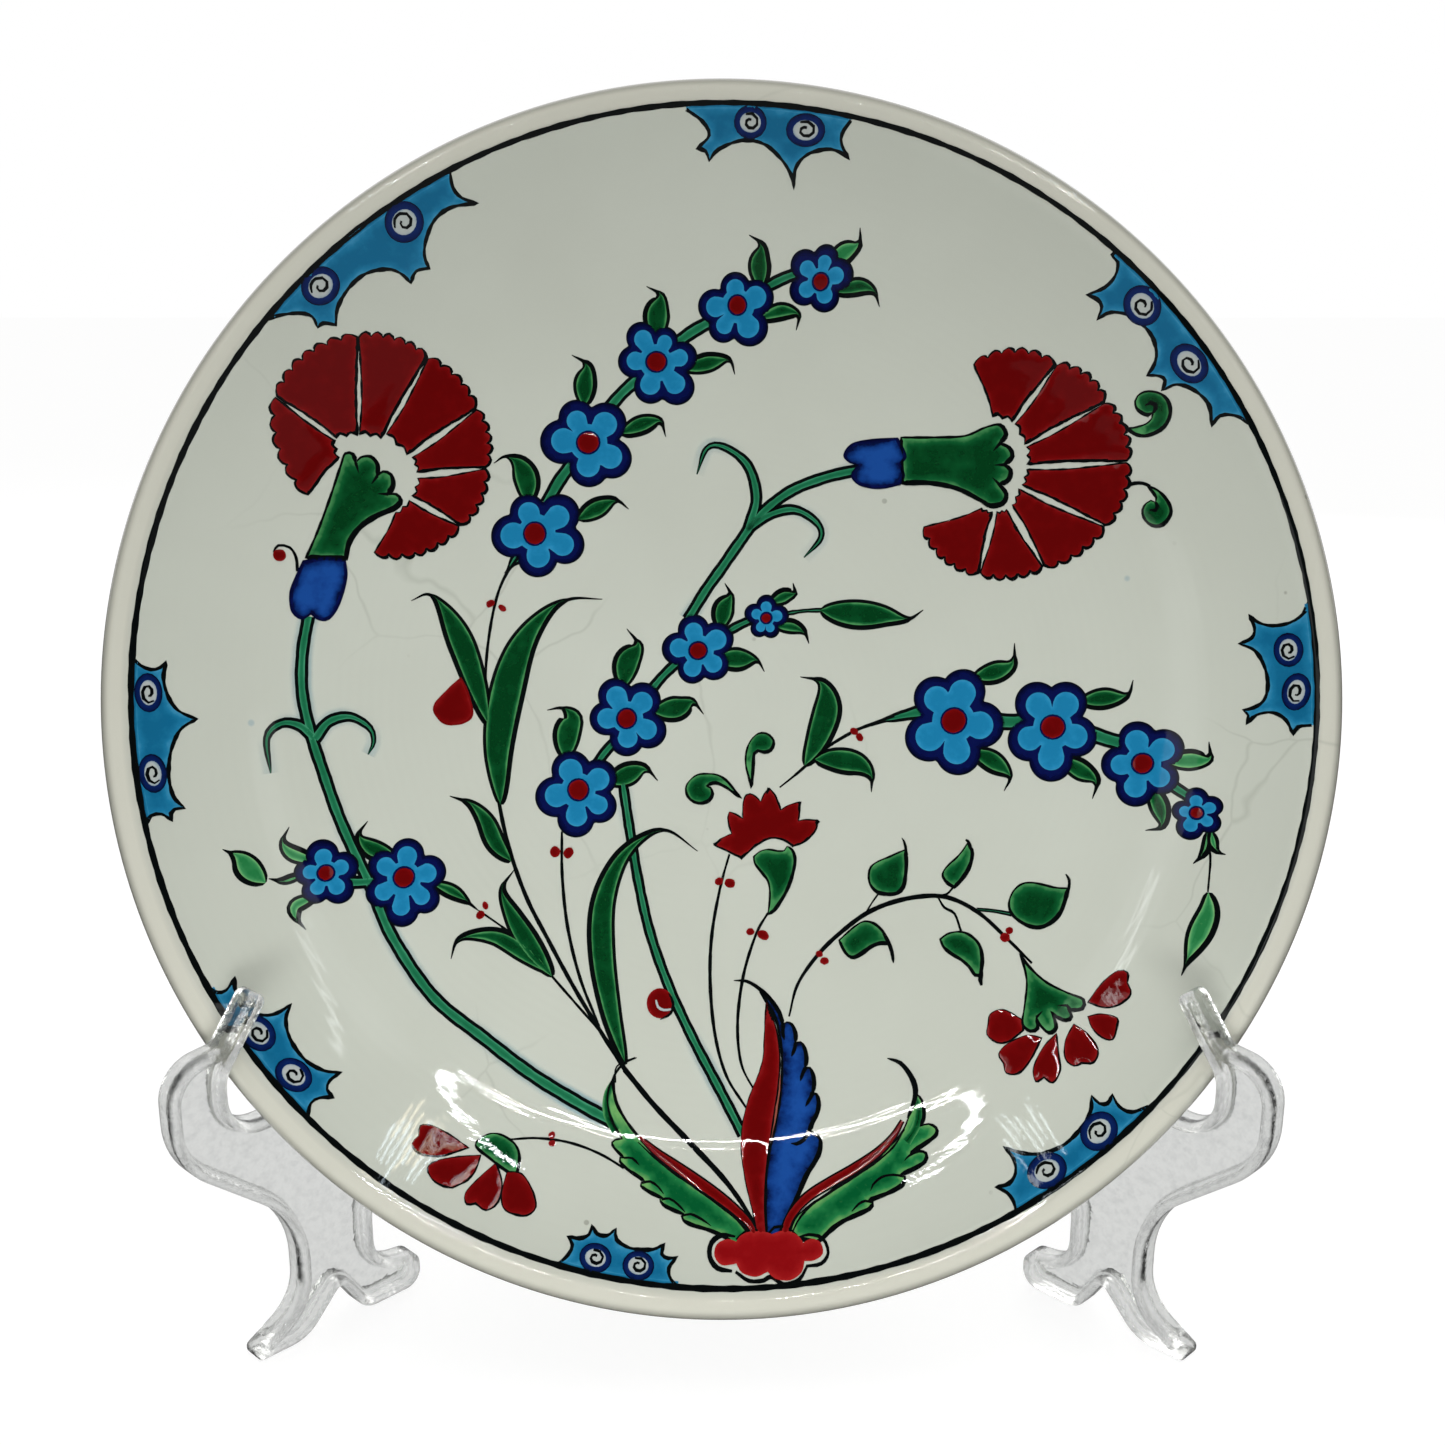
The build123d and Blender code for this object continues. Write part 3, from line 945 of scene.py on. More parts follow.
def paintSprays():
    joins = Painting("paintedSprayStems")
    for start, end, width in sprays["joins"]:
        a, b = Vector(start), Vector(end)
        way = (b - a).normalized() * brush["tuck"]
        middle = (a + b) / 2 + Vector((b.y - a.y, a.x - b.x)) * sprays["joinBend"]
        paintStem(joins, [tuple(a - way), tuple(middle), tuple(b + way)], width, width, bleed=False)
    for twig in sprays["twigs"]:
        paintStem(joins, *twig, bleed=False)
    paintLines(joins, sprays["darkLines"])
    joins.build()
    blossoms = Painting("paintedBlossoms")
    for place, petals in sprays["blossoms"]:
        paintBlossom(blossoms, place, petals)
    blossoms.build()


# leaves
leaves = {
    "smallBelly": 0.37,  # where along its length a small leaf is widest
    "smallEnd": 0.78,  # and where its green ends
    # points from the leaf's foot to its hooked tip, its width, and its green
    "small": [
        ([(28.0, 110.4), (31.0, 112.4), (34.2, 114.2), (34.3, 117.6)], 4.4, "paleGreen"),
        ([(30.2, 103.4), (34.6, 104.4), (38.6, 103.0), (40.1, 99.4)], 3.6, "leafGreen"),
        ([(9.8, 105.8), (9.4, 110.0), (9.9, 114.2), (6.8, 116.4)], 4.8, "leafGreen"),
        ([(11.0, 97.4), (15.2, 98.8), (19.6, 97.8), (19.2, 94.0)], 3.6, "leafGreen"),
        ([(-16.4, 93.4), (-16.3, 98.0), (-15.4, 102.6), (-18.9, 104.8)], 5.8, "leafGreen"),
        ([(-8.2, 84.6), (-3.0, 86.0), (1.8, 86.6), (3.2, 83.0)], 4.2, "leafGreen"),
        ([(-35.0, 76.4), (-34.9, 80.6), (-34.4, 85.2), (-38.2, 87.6)], 5.0, "leafGreen"),
        ([(-24.4, 68.6), (-20.4, 70.4), (-15.6, 71.2), (-14.0, 67.2)], 4.2, "leafGreen"),
        ([(-49.4, 51.6), (-49.8, 56.2), (-51.8, 60.4), (-55.0, 62.0), (-57.9, 60.3)], 5.8, "leafGreen"),
        ([(-35.4, 46.8), (-31.4, 49.0), (-27.0, 50.8), (-23.8, 48.6)], 4.4, "leafGreen"),
        ([(13.8, 25.4), (16.4, 26.6), (18.8, 27.4), (18.4, 30.0)], 3.2, "leafGreen"),
        ([(14.8, 18.9), (18.2, 18.6), (21.0, 17.2), (22.1, 14.4)], 3.0, "leafGreen"),
        ([(0.0, 19.6), (0.7, 23.4), (2.4, 27.0), (1.0, 30.0)], 4.8, "leafGreen"),
        ([(-0.2, 10.6), (4.6, 10.6), (9.2, 10.2), (11.1, 7.4)], 5.2, "leafGreen"),
        ([(-24.8, 4.8), (-24.0, 9.6), (-21.2, 14.2), (-24.0, 18.4)], 6.0, "leafGreen"),
        ([(-16.0, -2.6), (-11.0, -1.8), (-7.2, -0.4), (-4.4, -3.4)], 5.6, "leafGreen"),
        ([(-39.6, -13.6), (-39.2, -8.4), (-37.9, -4.4), (-40.6, -1.8), (-44.5, -2.3)], 6.2, "leafGreen"),
        ([(-27.6, -20.6), (-24.4, -19.2), (-19.6, -17.6), (-16.4, -20.6)], 5.2, "leafGreen"),
        ([(65.4, 6.2), (69.4, 7.2), (74.0, 9.4), (74.5, 14.6)], 4.8, "leafGreen"),
        ([(65.0, -13.4), (69.4, -15.6), (73.6, -19.4), (72.2, -23.2)], 4.8, "leafGreen"),
        ([(92.6, 0.0), (97.0, 0.6), (102.6, 1.4), (104.0, 5.2)], 4.6, "leafGreen"),
        ([(87.4, -15.6), (91.2, -17.8), (95.0, -20.6), (94.0, -25.0)], 4.6, "leafGreen"),
        ([(113.4, -15.4), (117.0, -15.2), (121.6, -14.6), (121.7, -10.4)], 4.4, "paleGreen"),
        ([(108.4, -22.8), (110.0, -27.0), (110.4, -31.6), (106.7, -32.6)], 4.0, "leafGreen"),
        ([(120.4, -34.4), (120.1, -36.5), (119.0, -38.7), (117.1, -40.6)], 1.3, "paleGreen"),
        ([(121.7, -34.1), (121.9, -35.9), (122.8, -37.5), (124.4, -38.0)], 1.9, "paleGreen"),
        ([(-103.6, -40.2), (-107.9, -38.6), (-110.2, -35.4), (-108.9, -31.8)], 3.2, "paleGreen"),
        ([(-103.4, -50.0), (-106.6, -51.4), (-106.4, -54.6), (-104.1, -57.6)], 2.9, "paleGreen"),
        ([(-84.0, -39.4), (-88.8, -37.6), (-91.9, -34.4), (-89.8, -30.8)], 4.4, "leafGreen"),
        ([(-72.4, -47.0), (-68.6, -48.6), (-65.2, -50.8), (-61.6, -53.6)], 3.0, "leafGreen"),
        ([(-106.6, -44.4), (-109.6, -45.4), (-113.0, -44.8)], 1.4, "paleGreen"),
    ],
    # the same, then where along its length the leaf is widest
    "long": [
        ([(25.2, 23.0), (32.6, 22.2), (41.0, 21.7), (47.4, 20.9), (51.3, 23.2)], 6.6, "leafGreen", 0.36),
        ([(120.2, -47.6), (119.7, -52.6), (116.4, -60.0), (112.9, -67.8)], 4.6, "paleGreen", 0.42),
        ([(-113.6, -45.6), (-116.8, -42.6), (-119.6, -39.0), (-123.2, -36.8)], 5.2, "paleGreen", 0.4),
        ([(-59.4, -6.2), (-62.6, 4.4), (-66.2, 14.6), (-70.6, 23.2), (-74.6, 27.2), (-79.2, 25.6)], 6.2,
         "leafGreen", 0.5),
        ([(-56.4, -26.6), (-57.0, -12.0), (-55.0, 1.6), (-51.2, 13.6), (-45.0, 22.2), (-38.6, 26.0),
          (-30.4, 26.0)], 8.2, "leafGreen", 0.42),
        ([(-53.6, -41.0), (-57.4, -36.4), (-60.2, -30.4), (-64.0, -26.2), (-69.2, -24.2)], 4.6,
         "leafGreen", 0.34),
        ([(-43.2, -70.4), (-48.6, -62.8), (-53.2, -55.2), (-56.0, -48.2), (-53.0, -43.0)], 5.2,
         "leafGreen", 0.36),
        ([(-43.4, -69.6), (-50.2, -64.6), (-57.0, -60.6), (-63.4, -60.0), (-67.2, -61.4), (-68.6, -65.8)],
         4.4, "leafGreen", 0.36),
        ([(-24.4, -92.6), (-28.0, -79.6), (-30.3, -65.0), (-30.1, -52.0), (-26.2, -41.4), (-20.2, -35.2),
          (-13.8, -33.4), (-6.2, -38.6)], 6.0, "leafGreen", 0.42),
        ([(21.2, -16.6), (24.6, -9.4), (26.9, -1.4), (25.4, 4.4), (20.0, 5.8)], 6.6, "leafGreen", 0.5),
        ([(23.8, -15.0), (29.0, -15.0), (35.0, -16.2), (38.2, -19.2), (38.4, -23.4)], 5.8, "leafGreen",
         0.4),
    ],
    # outlines of the rounder leaves; a third value marks a corner
    "round": [
        [(46.8, -38.1, 0), (47.1, -41.1), (46.9, -44.5), (46.3, -47.5), (44.8, -49.1), (42.2, -49.4),
         (39.6, -48.8), (37.9, -46.9), (37.5, -44.5), (38.1, -42.4), (40.0, -41.0), (42.7, -39.9),
         (45.1, -38.8)],
        [(62.6, -36.5, 0), (63.8, -38.1), (63.8, -40.3), (62.9, -43.0), (61.2, -45.6), (59.3, -47.6, 0),
         (57.6, -46.6), (56.4, -44.9), (56.6, -43.5), (58.0, -41.8), (59.9, -40.1), (61.6, -38.1)],
        [(87.9, -47.7, 0), (87.1, -50.7), (86.0, -53.6), (84.1, -55.9), (81.6, -57.4), (79.2, -57.6),
         (76.7, -56.7), (74.2, -54.8), (73.2, -52.5), (73.5, -50.2), (74.7, -48.1), (76.6, -46.7),
         (78.9, -46.4), (81.4, -46.8), (84.3, -47.5), (86.3, -47.7)],
        [(30.0, -61.1, 0), (32.3, -59.0), (34.4, -57.3), (36.4, -56.3), (38.7, -56.8), (40.6, -58.3),
         (41.9, -60.2), (42.7, -62.0, 0), (40.4, -61.9), (38.1, -62.8), (35.7, -64.5), (33.8, -65.5),
         (32.3, -65.1), (31.0, -63.4)],
        [(55.7, -60.9, 0), (57.4, -59.6), (59.7, -59.0), (62.0, -59.2), (64.3, -60.6), (65.8, -62.7),
         (66.3, -65.6), (66.1, -68.1), (65.7, -70.0, 0), (64.4, -69.8), (63.0, -67.8), (61.1, -66.1),
         (58.8, -64.7), (56.7, -63.0)],
    ],
    # points and three half widths
    "roundHooks": [
        ([(47.0, -39.4), (46.9, -37.3), (46.5, -35.9), (45.9, -35.0)], 0.55, 0.34, 0.1),
        ([(63.7, -38.1), (63.3, -36.7), (62.8, -35.9), (62.2, -35.5)], 0.4, 0.4, 0.2),
        ([(87.5, -49.4), (88.1, -47.5), (88.2, -45.6), (87.4, -44.1)], 0.4, 0.4, 0.12),
        ([(41.3, -59.4), (42.5, -61.6), (43.4, -64.1), (43.8, -66.9)], 0.4, 0.55, 0.12),
        ([(66.0, -68.1), (65.9, -69.8), (65.7, -71.1), (66.0, -72.4)], 0.3, 0.6, 0.3),
    ],
}


def paintLeaves():
    small = Painting("paintedSmallLeaves")
    for points, width, green in leaves["small"]:
        foot, second = Vector(points[0]), Vector(points[1])
        tucked = foot + (foot - second).normalized() * brush["tuck"]
        tucked = [tuple(tucked), *points[1:]]
        paintLeaf(small, tucked, width, green, leaves["smallBelly"], leaves["smallEnd"], deep=True)
    small.build()
    long = Painting("paintedLongLeaves")
    for leaf in leaves["long"]:
        paintLeaf(long, *leaf)
    for outline in leaves["round"]:
        paintArea(long, outline, "leafGreen", 0.4, soft=2.2)
    paintLines(long, leaves["roundHooks"], "ink", "top")
    long.build()


# stems and thin lines
stems = {
    # points, width at the start and at the end, share of the length over which the end tapers away
    "green": [
        ([(-104.4, 21.2), (-105.9, 12.0), (-106.0, 2.0), (-103.9, -8.6), (-101.0, -18.0), (-97.6, -28.0),
          (-93.8, -37.0), (-88.6, -48.0), (-83.4, -60.0), (-73.0, -75.0), (-60.0, -85.6), (-48.0, -94.6),
          (-36.0, -101.8), (-27.6, -106.2)], 2.4, 2.9, 0.0),
        ([(-103.2, -9.6), (-106.6, -6.4), (-111.0, -5.9), (-114.2, -9.6), (-113.2, -18.4)], 2.6, 1.6,
         0.8),
        ([(-103.0, -9.8), (-99.6, -5.4), (-94.4, -4.2), (-89.6, -7.0), (-88.6, -10.6), (-90.0, -13.8)],
         2.6, 1.8, 0.7),
        ([(-25.2, -21.0), (-23.4, -33.0), (-21.4, -45.0), (-18.3, -59.0), (-13.4, -73.0), (-7.4, -86.0),
          (-0.6, -98.6), (5.4, -109.6)], 2.0, 2.2, 0.0),
        ([(35.0, 58.8), (26.4, 56.8), (17.4, 53.2), (9.6, 47.0), (4.8, 40.6), (0.2, 34.0), (-4.2, 27.8),
          (-8.6, 20.6)], 2.5, 2.4, 0.0),
        ([(6.8, 43.6), (8.9, 51.6), (6.6, 60.0), (0.6, 64.6), (-3.8, 64.2), (-6.3, 57.6)], 2.5, 1.9, 0.6),
        ([(6.4, 43.4), (12.0, 47.2), (18.6, 48.6), (24.2, 45.4), (25.3, 41.4), (21.0, 36.4)], 2.3, 1.8,
         0.6),
        ([(65.0, -53.3), (69.0, -53.6), (73.8, -54.4)], 0.3, 1.2, 0.0),
    ],
    # points, then half width at the start, in the middle and at the end
    "ink": [
        ([(-59.6, -6.0), (-57.4, -22.0), (-54.6, -36.0), (-50.0, -49.6), (-44.0, -61.4), (-37.6, -73.2),
          (-31.0, -84.0), (-24.0, -94.6)], 0.35, 0.55, 0.6),
        ([(-24.6, -93.8), (-17.0, -102.6), (-8.0, -111.4), (1.4, -120.6), (8.8, -130.0)], 0.7, 0.72, 0.3),
        ([(-40.7, -33.4), (-40.6, -45.0), (-39.2, -58.0), (-36.0, -71.0), (-31.2, -83.0)], 0.3, 0.45,
         0.3),
        ([(2.0, -39.2), (-0.4, -48.0), (-2.5, -60.0), (-2.9, -72.0), (-1.7, -85.0), (1.2, -95.4),
          (6.2, -103.2)], 0.25, 0.46, 0.3),
        ([(11.8, -54.2), (8.8, -59.6), (5.6, -70.0), (4.1, -82.0), (5.0, -92.4), (8.4, -99.2)], 0.3, 0.42,
         0.2),
        ([(17.2, -80.6), (19.4, -72.4), (24.6, -64.8), (30.8, -58.8), (37.8, -53.8), (46.0, -50.8),
          (54.4, -49.8), (60.4, -51.2), (66.4, -54.8), (72.4, -60.4), (78.6, -66.6)], 0.2, 0.62, 0.3),
        ([(36.4, -54.8), (38.2, -51.8), (40.2, -49.0)], 0.2, 0.24, 0.2),
        ([(54.8, -49.9), (57.4, -49.4), (59.4, -47.2)], 0.3, 0.32, 0.2),
        ([(55.2, -50.2), (56.8, -52.8), (59.4, -54.4), (61.0, -58.8)], 0.25, 0.34, 0.3),
        ([(-61.8, -53.6), (-54.0, -59.2), (-47.0, -65.6), (-42.8, -70.8), (-37.2, -77.2), (-31.0, -84.2)],
         0.2, 0.36, 0.3),
        ([(-52.8, -109.6), (-46.0, -109.6), (-38.0, -110.9), (-30.6, -113.6), (-24.4, -117.0)], 0.2, 0.32,
         0.3),
        ([(-106.8, 32.4), (-107.0, 35.8), (-108.4, 38.3), (-111.0, 38.7), (-112.2, 37.0)], 0.4, 0.36,
         0.15),
        ([(-27.0, -97.0), (-26.6, -93.0), (-22.0, -90.8)], 0.3, 0.22, 0.1),
    ],
    # x, y, radius, length share, turn
    "berries": [
        (-58.9, 24.7, 0.95, 1.3, 35), (-55.9, 23.5, 0.75, 1.6, -35), (-42.4, -38.6, 1.3, 1.1, 100),
        (-39.0, -38.9, 1.25, 1.2, 60), (-0.7, -46.1, 0.95, 1.2, 20), (2.1, -46.6, 1.25, 1.1, -20),
        (7.3, -59.0, 0.95, 1.15, 0), (10.6, -59.8, 1.2, 1.35, -35), (24.9, -64.6, 0.8, 1.2, -20),
        (26.2, -66.4, 1.0, 1.1, 0), (33.8, -7.9, 0.85, 1.3, -30), (35.2, -9.4, 0.85, 1.3, -60),
        (72.1, -60.3, 1.15, 1.1, 0), (73.2, -58.5, 0.9, 1.1, 0), (-60.2, -52.3, 0.7, 1.6, 105),
        (-61.5, -54.7, 1.0, 1.25, 45), (-42.5, -109.0, 0.85, 1.0, 0), (-42.4, -110.9, 0.8, 1.1, 0),
        (-110.8, 36.3, 1.5, 1.0, 0),
    ],
    "bud": [
        (-66.4, 5.8, 0), (-64.4, 1.0), (-63.6, -3.6), (-66.2, -5.8), (-70.6, -5.8), (-73.2, -3.2),
        (-73.0, -0.8), (-70.0, 2.6),
    ],
    "ball": (-15.7, -77.2, 3.7),
    "ballShares": (0.92, 1.04),  # its half width and half height against its radius
    "ballShade": ([(-13.5, -74.6), (-12.4, -77.0), (-13.0, -79.8), (-15.6, -81.3)], 0.15, 0.42, 0.1),
    "ballLight": ([(-16.7, -76.3), (-16.2, -78.1), (-14.7, -78.9), (-12.9, -78.7)], 0.14, 0.36, 0.2),
}


def paintStems():
    lines = Painting("paintedFineLines")
    paintLines(lines, stems["ink"])
    lines.build()
    green = Painting("paintedStems")
    for stem in stems["green"]:
        paintStem(green, *stem, bleed=len(stem[0]) > 3)
    green.build()
    berries = Painting("paintedBerries")
    for berry in stems["berries"]:
        paintBerry(berries, *berry)
    paintArea(berries, stems["bud"], "red", 0.22, "red", swell=0.14, layer="under")
    x, y, radius = stems["ball"]
    wide, high = stems["ballShares"]
    ball = [(x + cos(k * pi / 6) * radius * wide, y + sin(k * pi / 6) * radius * high) for k in range(12)]
    paintArea(berries, ball, "red", 0, swell=0.16)
    paintLine(berries, *stems["ballShade"], "ink", "top")
    paintLine(berries, *stems["ballLight"], "eyeWhite", "crest")
    berries.build()


# rim line and border figures
border = {
    "lineCentre": (0.5, 0.65),
    "lineRadius": 142.9,
    "lineHalf": 0.6,
    "lineWaver": 0.13,
    "lineSteps": 360,
    "inkHalf": 0.4,
    "inkWaver": 0.14,
    "backInset": 0.35,  # how far inside the middle of the rim line a figure's back lies
    "backSteps": 60,
    "seamInset": 0.6,  # a narrow seam closes the last gap beside the rim line
    "seamHalf": 0.5,
    "eyeWhite": 0.64,  # size of the white against the ring round it
    "eyeSquash": 0.94,
    "curlSteps": 10,
    "curlStart": 130,  # degrees from the eye's long way, then degrees a step
    "curlTurn": 46,
    "curlReach": 0.86,  # share of the white at its outer end, then what each step takes off
    "curlShrink": 0.068,
    "curlHalves": (0.2, 0.36, 0.26),
    # points along the inner edge, from one end on the rim line to the other; a third value marks a spike
    "cartouches": [
        {
            "edge": [
                (-8.5, 142.2), (-4.6, 140.0), (-3.0, 137.4), (-6.0, 134.8, 0), (-3.9, 134.3),
                (-3.0, 132.4, 0), (-0.8, 134.6), (5.0, 136.4), (10.4, 135.6), (14.6, 132.6),
                (17.2, 129.2), (18.0, 126.4, 0), (18.2, 130.6), (21.0, 133.3), (25.6, 134.2),
                (28.6, 133.6), (31.2, 132.2, 0), (29.3, 134.8), (29.2, 137.0), (31.2, 139.4),
            ],
            "eyes": [(7.0, 139.8, 4.0, 3.2, -5), (20.4, 138.0, 4.8, 3.2, -5)],
        },
        {
            "edge": [
                (94.0, 107.5), (95.6, 105.4), (95.4, 102.6), (93.4, 100.4), (89.6, 99.2, 0), (92.0, 98.0),
                (93.2, 96.2), (92.5, 93.6, 0), (95.4, 94.8), (100.0, 93.4), (104.4, 89.2), (106.2, 85.0),
                (106.0, 82.0), (104.8, 79.8, 0), (107.5, 79.3), (108.7, 78.2), (108.4, 76.0, 0),
                (111.4, 77.0), (115.2, 75.2), (118.5, 71.5), (119.5, 66.6, 0), (121.0, 68.8),
                (124.0, 68.5), (127.0, 66.5),
            ],
            "eyes": [(102.0, 95.4, 5.0, 3.6, -52), (113.4, 81.4, 5.3, 3.3, -52)],
        },
        {
            "edge": [
                (141.5, 23.6), (140.4, 20.6), (138.0, 18.6), (134.6, 18.0), (131.8, 18.9),
                (129.9, 20.7, 0), (131.0, 17.6), (130.5, 15.2), (128.0, 13.8, 0), (131.2, 12.0),
                (133.2, 8.0), (133.9, 3.5), (133.1, -0.2), (131.0, -2.0), (128.9, -2.6, 0), (129.9, -3.9),
                (129.6, -6.0, 0), (131.6, -3.8), (134.8, -3.2), (137.4, -5.0), (138.8, -8.6, 0),
                (139.8, -6.7), (142.3, -6.3),
            ],
            "eyes": [(137.8, 12.0, 4.2, 2.9, 94), (139.4, 1.8, 4.6, 2.8, 84)],
        },
        {
            "edge": [
                (103.0, -98.2), (99.2, -99.9), (96.7, -99.0), (95.5, -96.6, 0), (94.2, -98.6),
                (92.4, -98.8), (90.8, -97.3, 0), (90.2, -100.8), (87.2, -105.2), (83.0, -108.9),
                (78.0, -111.0), (73.4, -111.2), (69.6, -110.2, 0), (71.6, -112.6), (71.8, -115.6),
                (70.0, -118.0), (66.8, -119.0, 0), (69.4, -119.9), (70.7, -121.6), (71.0, -123.6),
            ],
            "eyes": [(91.6, -104.8, 5.0, 3.5, 46), (79.0, -114.4, 5.0, 3.4, 33)],
        },
        {
            "edge": [
                (-39.6, -136.4), (-37.2, -134.7), (-36.3, -132.8), (-37.6, -131.0, 0), (-34.7, -131.6),
                (-32.4, -130.9), (-31.8, -129.0, 0), (-30.4, -130.9), (-28.0, -131.3), (-26.0, -130.0, 0),
                (-25.7, -132.2), (-22.4, -134.0), (-18.0, -134.5), (-15.8, -134.2), (-14.0, -133.3, 0),
                (-14.6, -135.4), (-12.9, -136.3), (-10.8, -136.0, 0), (-12.8, -138.2), (-12.2, -140.4),
                (-10.0, -142.0),
            ],
            "eyes": [(-30.6, -135.6, 4.0, 2.9, -14), (-20.2, -137.5, 3.9, 2.9, -8)],
        },
        {
            "edge": [
                (-124.2, -69.6), (-122.0, -70.9), (-120.2, -70.6), (-118.7, -67.8, 0), (-118.2, -71.0),
                (-115.2, -75.1), (-112.0, -77.1), (-109.0, -76.9), (-106.1, -75.1, 0), (-107.0, -78.4),
                (-105.6, -83.2), (-102.0, -88.1), (-97.6, -91.0), (-93.8, -91.8, 0), (-96.0, -93.4),
                (-96.4, -95.3), (-94.8, -97.2, 0), (-97.8, -97.0), (-99.6, -98.0), (-99.9, -100.8),
            ],
            "eyes": [(-104.0, -91.3, 4.8, 3.1, -42), (-112.5, -81.1, 4.8, 3.1, -52)],
        },
        {
            "edge": [
                (-142.0, 10.0), (-140.6, 8.2), (-138.6, 7.2), (-136.9, 7.7), (-135.6, 9.3, 0),
                (-136.2, 5.2), (-135.4, 1.0), (-133.4, -2.6), (-129.6, -4.8, 0), (-132.8, -7.4),
                (-134.5, -12.0), (-135.0, -17.0), (-134.6, -21.0), (-133.6, -24.2), (-131.5, -26.6, 0),
                (-133.5, -26.8), (-134.2, -27.8), (-133.9, -29.6, 0), (-136.0, -27.9), (-138.0, -28.2),
                (-138.9, -30.4),
            ],
            "eyes": [(-139.1, 1.6, 4.8, 2.7, 92), (-138.0, -18.0, 4.8, 2.7, 98)],
        },
        {
            "edge": [
                (-109.6, 91.6), (-106.0, 93.0), (-102.2, 93.8), (-99.8, 93.3), (-98.9, 91.1, 0),
                (-97.5, 92.2), (-94.8, 92.1, 0), (-94.0, 96.0), (-91.0, 100.6), (-87.0, 104.0),
                (-82.2, 105.5), (-79.2, 105.0), (-76.8, 103.1, 0), (-75.3, 105.7), (-72.3, 106.6, 0),
                (-73.1, 109.2), (-72.4, 112.7), (-70.0, 117.0), (-66.0, 119.9), (-59.7, 121.4, 0),
                (-63.2, 122.1), (-65.1, 124.0), (-65.4, 127.4),
            ],
            "eyes": [(-97.2, 100.2, 4.9, 3.6, 44), (-77.0, 115.8, 4.9, 3.9, 40)],
        },
    ],
}


def paintEye(painting, x, y, long, short, turn):
    # a cobalt ring with a small curl in the white
    share = border["eyeWhite"]
    painting.fill(ovalLine(x, y, long, short, turn), "cobaltEye", "over", soft=0.9, grid=1.2)
    white = ovalLine(x, y, long * share, short * share * border["eyeSquash"], turn)
    painting.fill(white, "eyeWhite", "top", soft=0.5, grid=1.2)
    curl = []
    c, s = cos(radians(turn)), sin(radians(turn))
    for k in range(border["curlSteps"]):
        swing = radians(turn + border["curlStart"] - border["curlTurn"] * k)
        reach = share * (border["curlReach"] - border["curlShrink"] * k)
        u, v = long * reach * cos(swing), short * reach * sin(swing)
        curl.append((x + u * c - v * s, y + u * s + v * c))
    paintLine(painting, curl, *border["curlHalves"], "ink", "last")


def paintBorder():
    ring = Painting("paintedRimLine")
    centre = Vector(border["lineCentre"])

    def onLine(turn, inset=0.0):
        return centre + Vector((cos(turn), sin(turn))) * (border["lineRadius"] - inset)

    steps = border["lineSteps"]
    line = [onLine(2 * pi * k / steps) for k in range(steps)]
    halves = [border["lineHalf"] + shake for shake in wavering(line, border["lineWaver"])]
    ring.ribbon(line, halves, "ink", "over", across=4, closed=True)
    ring.build()
    cartouches = Painting("paintedCartouches")
    for cartouche in border["cartouches"]:
        edge = curveThrough([(*cartouche["edge"][0], 0), *cartouche["edge"][1:]], step=0.9)
        first, last = [atan2(*(point - centre).yx) for point in (edge[-1], edge[0])]
        swing = (last - first + pi) % (2 * pi) - pi
        cuts = border["backSteps"]
        back = [onLine(first + swing * k / cuts, border["backInset"]) for k in range(cuts + 1)]
        cartouches.fill(edge + back, "turquoise", "under", soft=2.2, grid=0.8)
        seam = [onLine(first + swing * k / cuts, border["seamInset"]) for k in range(1, cuts)]
        cartouches.ribbon(seam, [border["seamHalf"]] * len(seam), "turquoise", "colour")
        halves = [border["inkHalf"] + shake for shake in wavering(edge, border["inkWaver"])]
        cartouches.ribbon(edge, halves, "ink", "colour", across=2)
        for eye in cartouche["eyes"]:
            paintEye(cartouches, *eye)
    cartouches.build()


